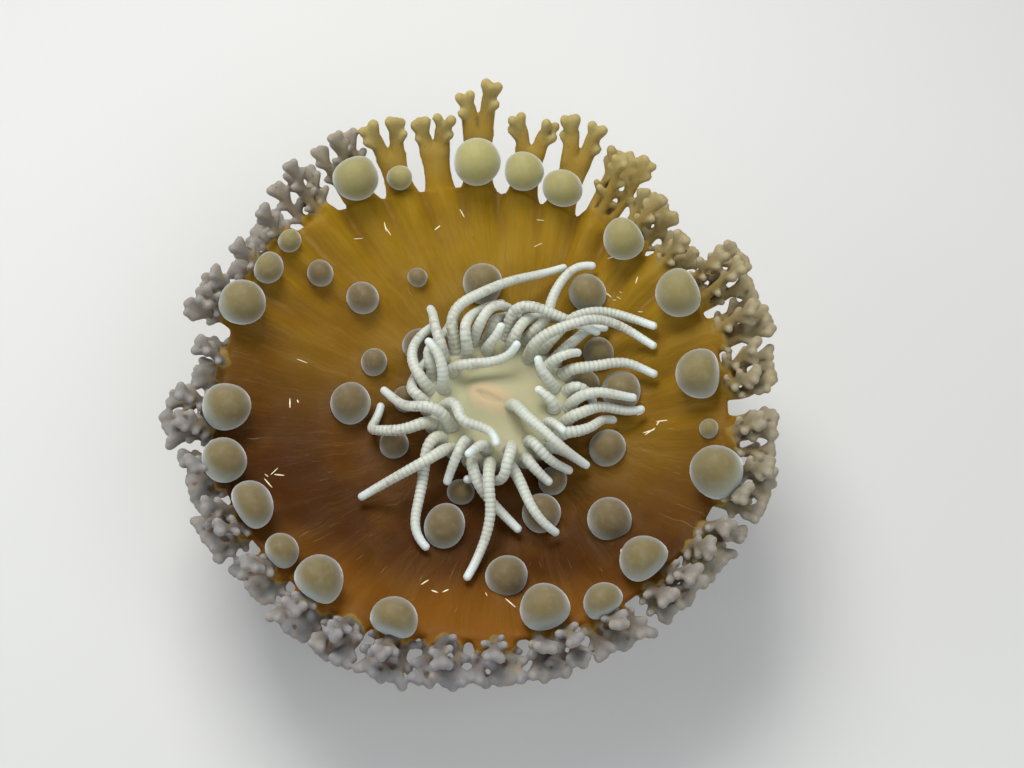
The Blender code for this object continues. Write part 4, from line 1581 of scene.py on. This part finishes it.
# For each group, for each root: angle from straight outwards, turn on the way to the tip, length, storey
TENTACLES = (
    ((-12, 10, 3.6, 1), (60, 45, 3.2, 2), (-20, -10, 7.4, 1), (8, 0, 4.0, 1), (2, -25, 5.6, 1)),
    ((26, -130, 10.6, 1), (8, -112, 11.5, 2), (10, -55, 9.0, 2), (0, -98, 7.4, 1), (-62, -45, 8.6, 2)),
    ((-38, -40, 5.4, 1), (-60, -10, 2.8, 0), (-57, -72, 6.6, 2), (-44, -58, 7.2, 2), (-48, -75, 12.2, 2)),
    ((-62, 40, 5.8, 2), (-155, 50, 6.2, 1), (-85, 8, 7.4, 1), (-84, 10, 4.4, 2), (-35, -120, 6.8, 1)),
    ((-55, -80, 5.8, 1), (45, 160, 7.6, 2), (38, -160, 8.4, 0), (-25, -80, 7.6, 1), (20, 55, 9.4, 1)),
    ((-2, -45, 8.2, 2), (-5, 35, 5.0, 0), (42, 28, 7.0, 0), (-25, -20, 3.4, 2), (36, -76, 9.8, 1)),
    ((8, 38, 7.2, 1), (40, -230, 8.4, 1), (10, 30, 3.6, 1), (8, 68, 5.4, 1), (22, 40, 4.4, 0)),
    ((8, 115, 6.2, 1), (-30, 40, 3.4, 0), (22, 30, 6.8, 0), (112, 20, 2.6, 2), (-32, 115, 5.6, 1)),
)
MOUTH_TENTACLE = (-30, 0.9, (-35, 50, 9.0, 2))  # the one that grows beside the mouth: angle, place, course


@dataclass
class Tentacles:
    """The ringed tentacles that grow from the crown round the oral disc."""

    dish: Dish
    finish: TentacleFinish
    # Place of each tentacle in its group: angle from the group's middle, distance from the oral centre
    roots: tuple = ((-15, 4.75), (-11, 3.85), (0, 4.75), (11, 3.85), (15, 4.75))
    root_radius: float = 0.42
    tip_radius: float = 0.27
    step: float = 0.7
    climb_at_root: float = 84
    droop: float = -22
    gap: float = 0.3
    spare: float = 0.14  # kept between two tentacles, over the gap
    clearance: float = 0.1  # kept from a vesicle and from the ground, over the gap
    longest_move: float = 0.25
    crown_top: float = 12.5
    crown_outer: float = 5.1
    disc_top: float = 12.1
    rounds: int = 240
    hold: float = 0.02
    sample: float = 0.062
    tightest_bend: float = 0.56  # radius of the tightest bend that doesn't fold the tube
    bend_rounds: int = 160
    bend_margin: int = 9  # how many points round a tight one are eased with it
    held_points: int = 3  # how many points at the root are never eased
    sides: int = 12
    ring_spacing: float = 0.31
    ring_depth: float = 0.06
    ring_shift: float = 0.37  # so that neighbours' rings don't line up
    sway: float = 20

    def course(self, angle: float, distance: float, base: float, lean: float, turn: float, length: float,
               storey: int) -> np.ndarray:
        """The points of one tentacle before it settles.

        Args:
            angle: Where its root is, round the oral centre.
            distance: How far its root is from the oral centre.
            base: Height of its root.
            lean: Its heading at the root, from straight outwards.
            turn: How much its heading turns on the way to the tip.
            length: Its length.
            storey: Place of its storey in STOREYS.

        Returns:
            The points, from the root to the tip.
        """
        steps = max(5, round(length / self.step))
        point = np.array([*(np.array(self.dish.oral_centre) + distance * towards(angle)), base])
        course = [point]
        for number in range(steps):
            share = (number + 0.5) / steps
            sway = self.sway * math.sin(share * length * 1.1 + angle) * min(1.0, 2 * share)
            heading = towards(angle + lean + turn * share + sway)
            ease = min(1.0, share * STOREYS[storey].value)
            climb = math.radians(self.climb_at_root + (self.droop - self.climb_at_root) * ease * (2 - ease))
            point = point + length / steps * np.array([*(heading * math.cos(climb)), math.sin(climb)])
            course.append(point)
        return np.array(course)

    def radii(self, count: int) -> np.ndarray:
        """The radius at each of a course's points."""
        return self.root_radius + (self.tip_radius - self.root_radius) * np.linspace(0, 1, count)

    def ground(self, points: np.ndarray) -> np.ndarray:
        """Height of the crown or the dish under each point."""
        angle, share = self.dish.locate(points)
        from_middle = np.linalg.norm(points[:, :2] - np.array(self.dish.oral_centre), axis=1)
        on_crown = from_middle < self.crown_outer + self.gap + self.root_radius
        return np.where(on_crown, self.crown_top + 0.15, self.dish.height(angle, share))

    def settle(self, courses: list[np.ndarray]) -> list[np.ndarray]:
        """Eases the courses apart, and off what lies under them, with their roots held.

        Args:
            courses: The points of each tentacle.

        Returns:
            The settled points of each tentacle.
        """
        ids = np.concatenate([np.full(len(course), k) for k, course in enumerate(courses)])
        along = np.concatenate([np.arange(len(course)) for course in courses])
        radii = np.concatenate([self.radii(len(course)) for course in courses])
        meant = np.concatenate(courses)
        points = meant.copy()
        free = (along > 0)[:, None]
        wanted = radii[:, None] + radii[None] + self.gap + self.spare
        other = (ids[:, None] != ids[None]) & ((along[:, None] > 0) | (along[None] > 0))
        links = np.flatnonzero(ids[:-1] == ids[1:])
        spans = np.linalg.norm(points[links + 1] - points[links], axis=1)[:, None]
        bends = np.flatnonzero(ids[:-2] == ids[2:]) + 1
        balls = []
        for angle, share, diameter in LOOSE_VESICLES:
            centre = self.dish.point(angle, share) + Vector((0, 0, LOOSE_SEAT * diameter / 2))
            balls.append((np.array(centre), diameter / 2))
        for number in range(self.rounds):
            apart = points[:, None] - points[None]
            distance = np.linalg.norm(apart, axis=2) + 1e-9
            short = np.where(other, np.clip(wanted - distance, 0, None), 0)
            move = (apart / distance[..., None] * short[..., None] * 0.5).sum(axis=1)
            for centre, radius in balls:
                away = points - centre
                far = np.linalg.norm(away, axis=1) + 1e-9
                push = np.clip(radius + radii + self.gap + self.clearance - far, 0, None)
                move += away / far[:, None] * push[:, None]
            points = points + np.clip(move, -self.longest_move, self.longest_move) * free
            calm = max(0.0, 0.85 - number / self.rounds)  # the last rounds only part them
            middles = (points[bends - 1] + points[bends + 1]) / 2
            points[bends] += (middles - points[bends]) * 0.3 * calm * free[bends]
            points += (meant - points) * self.hold * calm * free
            for _ in range(3):  # keeps the points of a course at one spacing
                steps = points[links + 1] - points[links]
                excess = steps * (1 - spans / (np.linalg.norm(steps, axis=1, keepdims=True) + 1e-9)) * 0.45
                points[links] += excess * free[links]
                points[links + 1] -= excess
            floor = self.ground(points) + (radii + self.gap + self.clearance) * np.minimum(along / 2, 1)
            points[:, 2] = np.where(free[:, 0], np.maximum(points[:, 2], floor), points[:, 2])
        return [points[ids == k] for k in range(len(courses))]

    def courses(self) -> list[np.ndarray]:
        """The settled courses of all tentacles."""
        groups = len(TENTACLES)
        found = []
        for group, rows in enumerate(TENTACLES):
            middle = (group + 0.5) * 360 / groups
            for (offset, distance), row in zip(self.roots, rows):
                found.append(self.course(middle + offset, distance, self.crown_top - 0.35, *row))
        angle, distance, row = MOUTH_TENTACLE
        found.append(self.course(angle, distance, self.disc_top - 0.2, *row))
        return self.settle(found)

    def smooth(self, course: np.ndarray) -> np.ndarray:
        """A course with rounded bends, at a fine and even spacing."""
        soft = course.copy()
        for _ in range(2):
            soft[1:-1] += ((soft[:-2] + soft[2:]) / 2 - soft[1:-1]) * 0.5
        padded = np.vstack([2 * soft[0] - soft[1], soft, 2 * soft[-1] - soft[-2]])
        fine = []
        for before, start, end, after in zip(padded, padded[1:], padded[2:], padded[3:]):
            for t in np.linspace(0, 1, 12, endpoint=False):
                fine.append(0.5 * (2 * start + (end - before) * t
                                   + (2 * before - 5 * start + 4 * end - after) * t**2
                                   + (3 * start - before - 3 * end + after) * t**3))
        fine.append(soft[-1])
        fine = np.array(fine)
        lengths = np.concatenate([[0], np.cumsum(np.linalg.norm(np.diff(fine, axis=0), axis=1))])
        count = max(8, round(lengths[-1] / self.sample))
        wanted = np.linspace(0, lengths[-1], count + 1)
        even = np.stack([np.interp(wanted, lengths, fine[:, axis]) for axis in range(3)], axis=1)
        return self.open_bends(even)

    def open_bends(self, fine: np.ndarray) -> np.ndarray:
        """Eases only the bends that are too tight for the tube, which would fold through itself there.

        Args:
            fine: The points of a course at an even spacing.

        Returns:
            The points, with the root held.
        """
        eased = fine.copy()
        for _ in range(self.bend_rounds):
            bend = np.linalg.norm(eased[:-2] - 2 * eased[1:-1] + eased[2:], axis=1) / self.sample**2
            tight = np.convolve(bend * self.tightest_bend > 1, np.ones(self.bend_margin), "same") > 0
            tight[:self.held_points] = False
            eased[1:-1] += ((eased[:-2] + eased[2:]) / 2 - eased[1:-1]) * 0.5 * tight[:, None]
        return eased

    def profile(self, reach: np.ndarray) -> np.ndarray:
        """The plain radius at each distance from the root: flared there, and rounded at the tip."""
        length = reach[-1]
        radius = self.root_radius * 0.98 + (self.tip_radius - self.root_radius * 0.98) * reach / length
        flare = 1 + 0.5 * np.exp(-reach / 0.35)
        left = np.clip((length - reach) / radius, 0.0, 1.0)
        return radius * flare * np.sqrt(np.clip(1 - (1 - left) ** 2, 0.012, 1.0))

    def build(self) -> bpy.types.Object:
        """Sweeps a ringed tube along each course and dresses it.

        Returns:
            The piece.
        """
        points, edges, radii, alongs, reaches = [], [], [], [], []
        for number, course in enumerate(self.courses()):
            fine = self.smooth(course)
            reach = np.concatenate([[0], np.cumsum(np.linalg.norm(np.diff(fine, axis=0), axis=1))])
            start = len(points)
            points += fine.tolist()
            edges += [(start + k, start + k + 1) for k in range(len(fine) - 1)]
            radii += self.profile(reach).tolist()
            alongs += (reach / reach[-1]).tolist()
            reaches += (reach + number * self.ring_shift).tolist()
        mesh = bpy.data.meshes.new("tentacle_courses")
        mesh.from_pydata(points, edges, [])
        for name, values in (("thick", radii), ("along", alongs), ("reach", reaches)):
            write_values(mesh, name, values)
        source = link("tentacle_courses", mesh)

        tree = GeometryTree("ringed_tentacles")
        spacing = tree.named("Ring Spacing", "Float", self.ring_spacing)
        depth = tree.named("Ring Depth", "Float", self.ring_depth)
        sides = tree.named("Sides", "Int", self.sides)
        lines = tree.add("GeometryNodeMeshToCurve", None, {"Mesh": tree.start.outputs[0]}).outputs[0]
        turns = tree.math("DIVIDE", tree.read("reach"), spacing)
        lobe = tree.math("ABSOLUTE", tree.math("SINE", tree.math("MULTIPLY", turns, math.pi)))
        wave = tree.math("MULTIPLY_ADD", tree.math("POWER", lobe, 0.7), 2.0, -1.2)
        fade = tree.math("SUBTRACT", 1.0, tree.math("POWER", tree.read("along"), 6.0))
        ring = tree.math("MULTIPLY", wave, fade)
        swell = tree.math("MULTIPLY_ADD", ring, depth, 1.0)
        marked = tree.store(lines, "ring", ring)
        radius = tree.math("MULTIPLY", tree.read("thick"), swell)
        sized = tree.add("GeometryNodeSetCurveRadius", None, {"Curve": marked, "Radius": radius}).outputs[0]
        circle = tree.add("GeometryNodeCurvePrimitiveCircle", None, {"Resolution": sides, "Radius": 1.0})
        inputs = {"Curve": sized, "Profile Curve": circle.outputs[0], "Fill Caps": True}
        sweep = tree.add("GeometryNodeCurveToMesh", None, inputs)
        if "Scale" in sweep.inputs:
            tree.tree.links.new(tree.add("GeometryNodeInputRadius").outputs[0], sweep.inputs["Scale"])
        mesh = tree.apply(sweep.outputs[0], source, "tentacles", self.finish.build())
        piece = finished("tentacles", mesh)
        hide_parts(*[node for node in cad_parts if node.startswith("tentacles")])
        return piece


# Stage


@dataclass(frozen=True)
class Studio:
    """The floor, the lights and the camera."""

    elevation: float = 63.0
    lens: float = 50.0
    distance: float = 95.4
    aim: tuple[float, float, float] = (0.0, 0.0, 13.0)
    aside: float = 2.617
    above: float = 0.268
    floor_half: float = 900.0

    def camera(self) -> None:
        """Sets the camera up."""
        tilt = math.radians(self.elevation)
        forward = Vector((0, math.cos(tilt), -math.sin(tilt)))
        up = Vector((0, math.sin(tilt), math.cos(tilt)))
        target = Vector(self.aim) + Vector((self.aside, 0, 0)) + up * self.above
        data = bpy.data.cameras.new("camera")
        data.lens = self.lens
        data.sensor_width = 36.0
        data.clip_start, data.clip_end = 0.001, 10.0
        camera = bpy.data.objects.new("camera", data)
        camera.location = (target - forward * self.distance) * MM
        camera.rotation_euler = forward.to_track_quat("-Z", "Y").to_euler()
        bpy.context.scene.collection.objects.link(camera)
        bpy.context.scene.camera = camera

    def light(self, name: str, place: tuple, size: float, power: float, colour: Colour) -> None:
        """Adds one soft light that faces the model.

        Args:
            name: The light's name.
            place: Where it stands, in millimetres.
            size: The side of its square.
            power: Its power in watts.
            colour: Its colour.
        """
        data = bpy.data.lights.new(name, "AREA")
        data.size = size * MM
        data.energy = power
        data.color = colour
        lamp = bpy.data.objects.new(name, data)
        lamp.location = Vector(place) * MM
        lamp.rotation_euler = (Vector((0, 0, 8)) - Vector(place)).to_track_quat("-Z", "Y").to_euler()
        bpy.context.scene.collection.objects.link(lamp)

    def build(self) -> None:
        """Sets up the whole stage."""
        half = self.floor_half
        mesh = bpy.data.meshes.new("floor")
        corners = [(-half, -half, 0), (half, -half, 0), (half, half, 0), (-half, half, 0)]
        mesh.from_pydata(corners, [], [(0, 1, 2, 3)])
        mesh.transform(TO_METRES)
        mesh.materials.append(FloorFinish().build())
        link("floor", mesh)
        self.light("key", (-25, 75, 150), 80, 0.22, (1.0, 0.98, 0.95))
        self.light("fill", (70, -90, 150), 140, 0.14, (0.93, 0.96, 1.0))
        self.light("side", (-140, -10, 70), 90, 0.06, (0.9, 0.95, 1.0))
        world = bpy.data.worlds.new("studio")
        world.use_nodes = True
        world.node_tree.nodes["Background"].inputs[0].default_value = (0.86, 0.9, 0.95, 1.0)
        world.node_tree.nodes["Background"].inputs[1].default_value = 0.35
        bpy.context.scene.world = world
        bpy.context.scene.view_settings.view_transform = "Standard"
        self.camera()


def main() -> None:
    """Builds the anemone piece by piece, and then the stage."""
    dish = Dish()
    skin = Skin(dish, SkinFinish())
    skin.build()
    Vesicles(dish, VesicleFinish(), skin.shapes).build()
    Grains(skin, GlintFinish()).build()
    Tentacles(dish, TentacleFinish()).build()
    Studio().build()


if __name__ == "__main__":
    main()
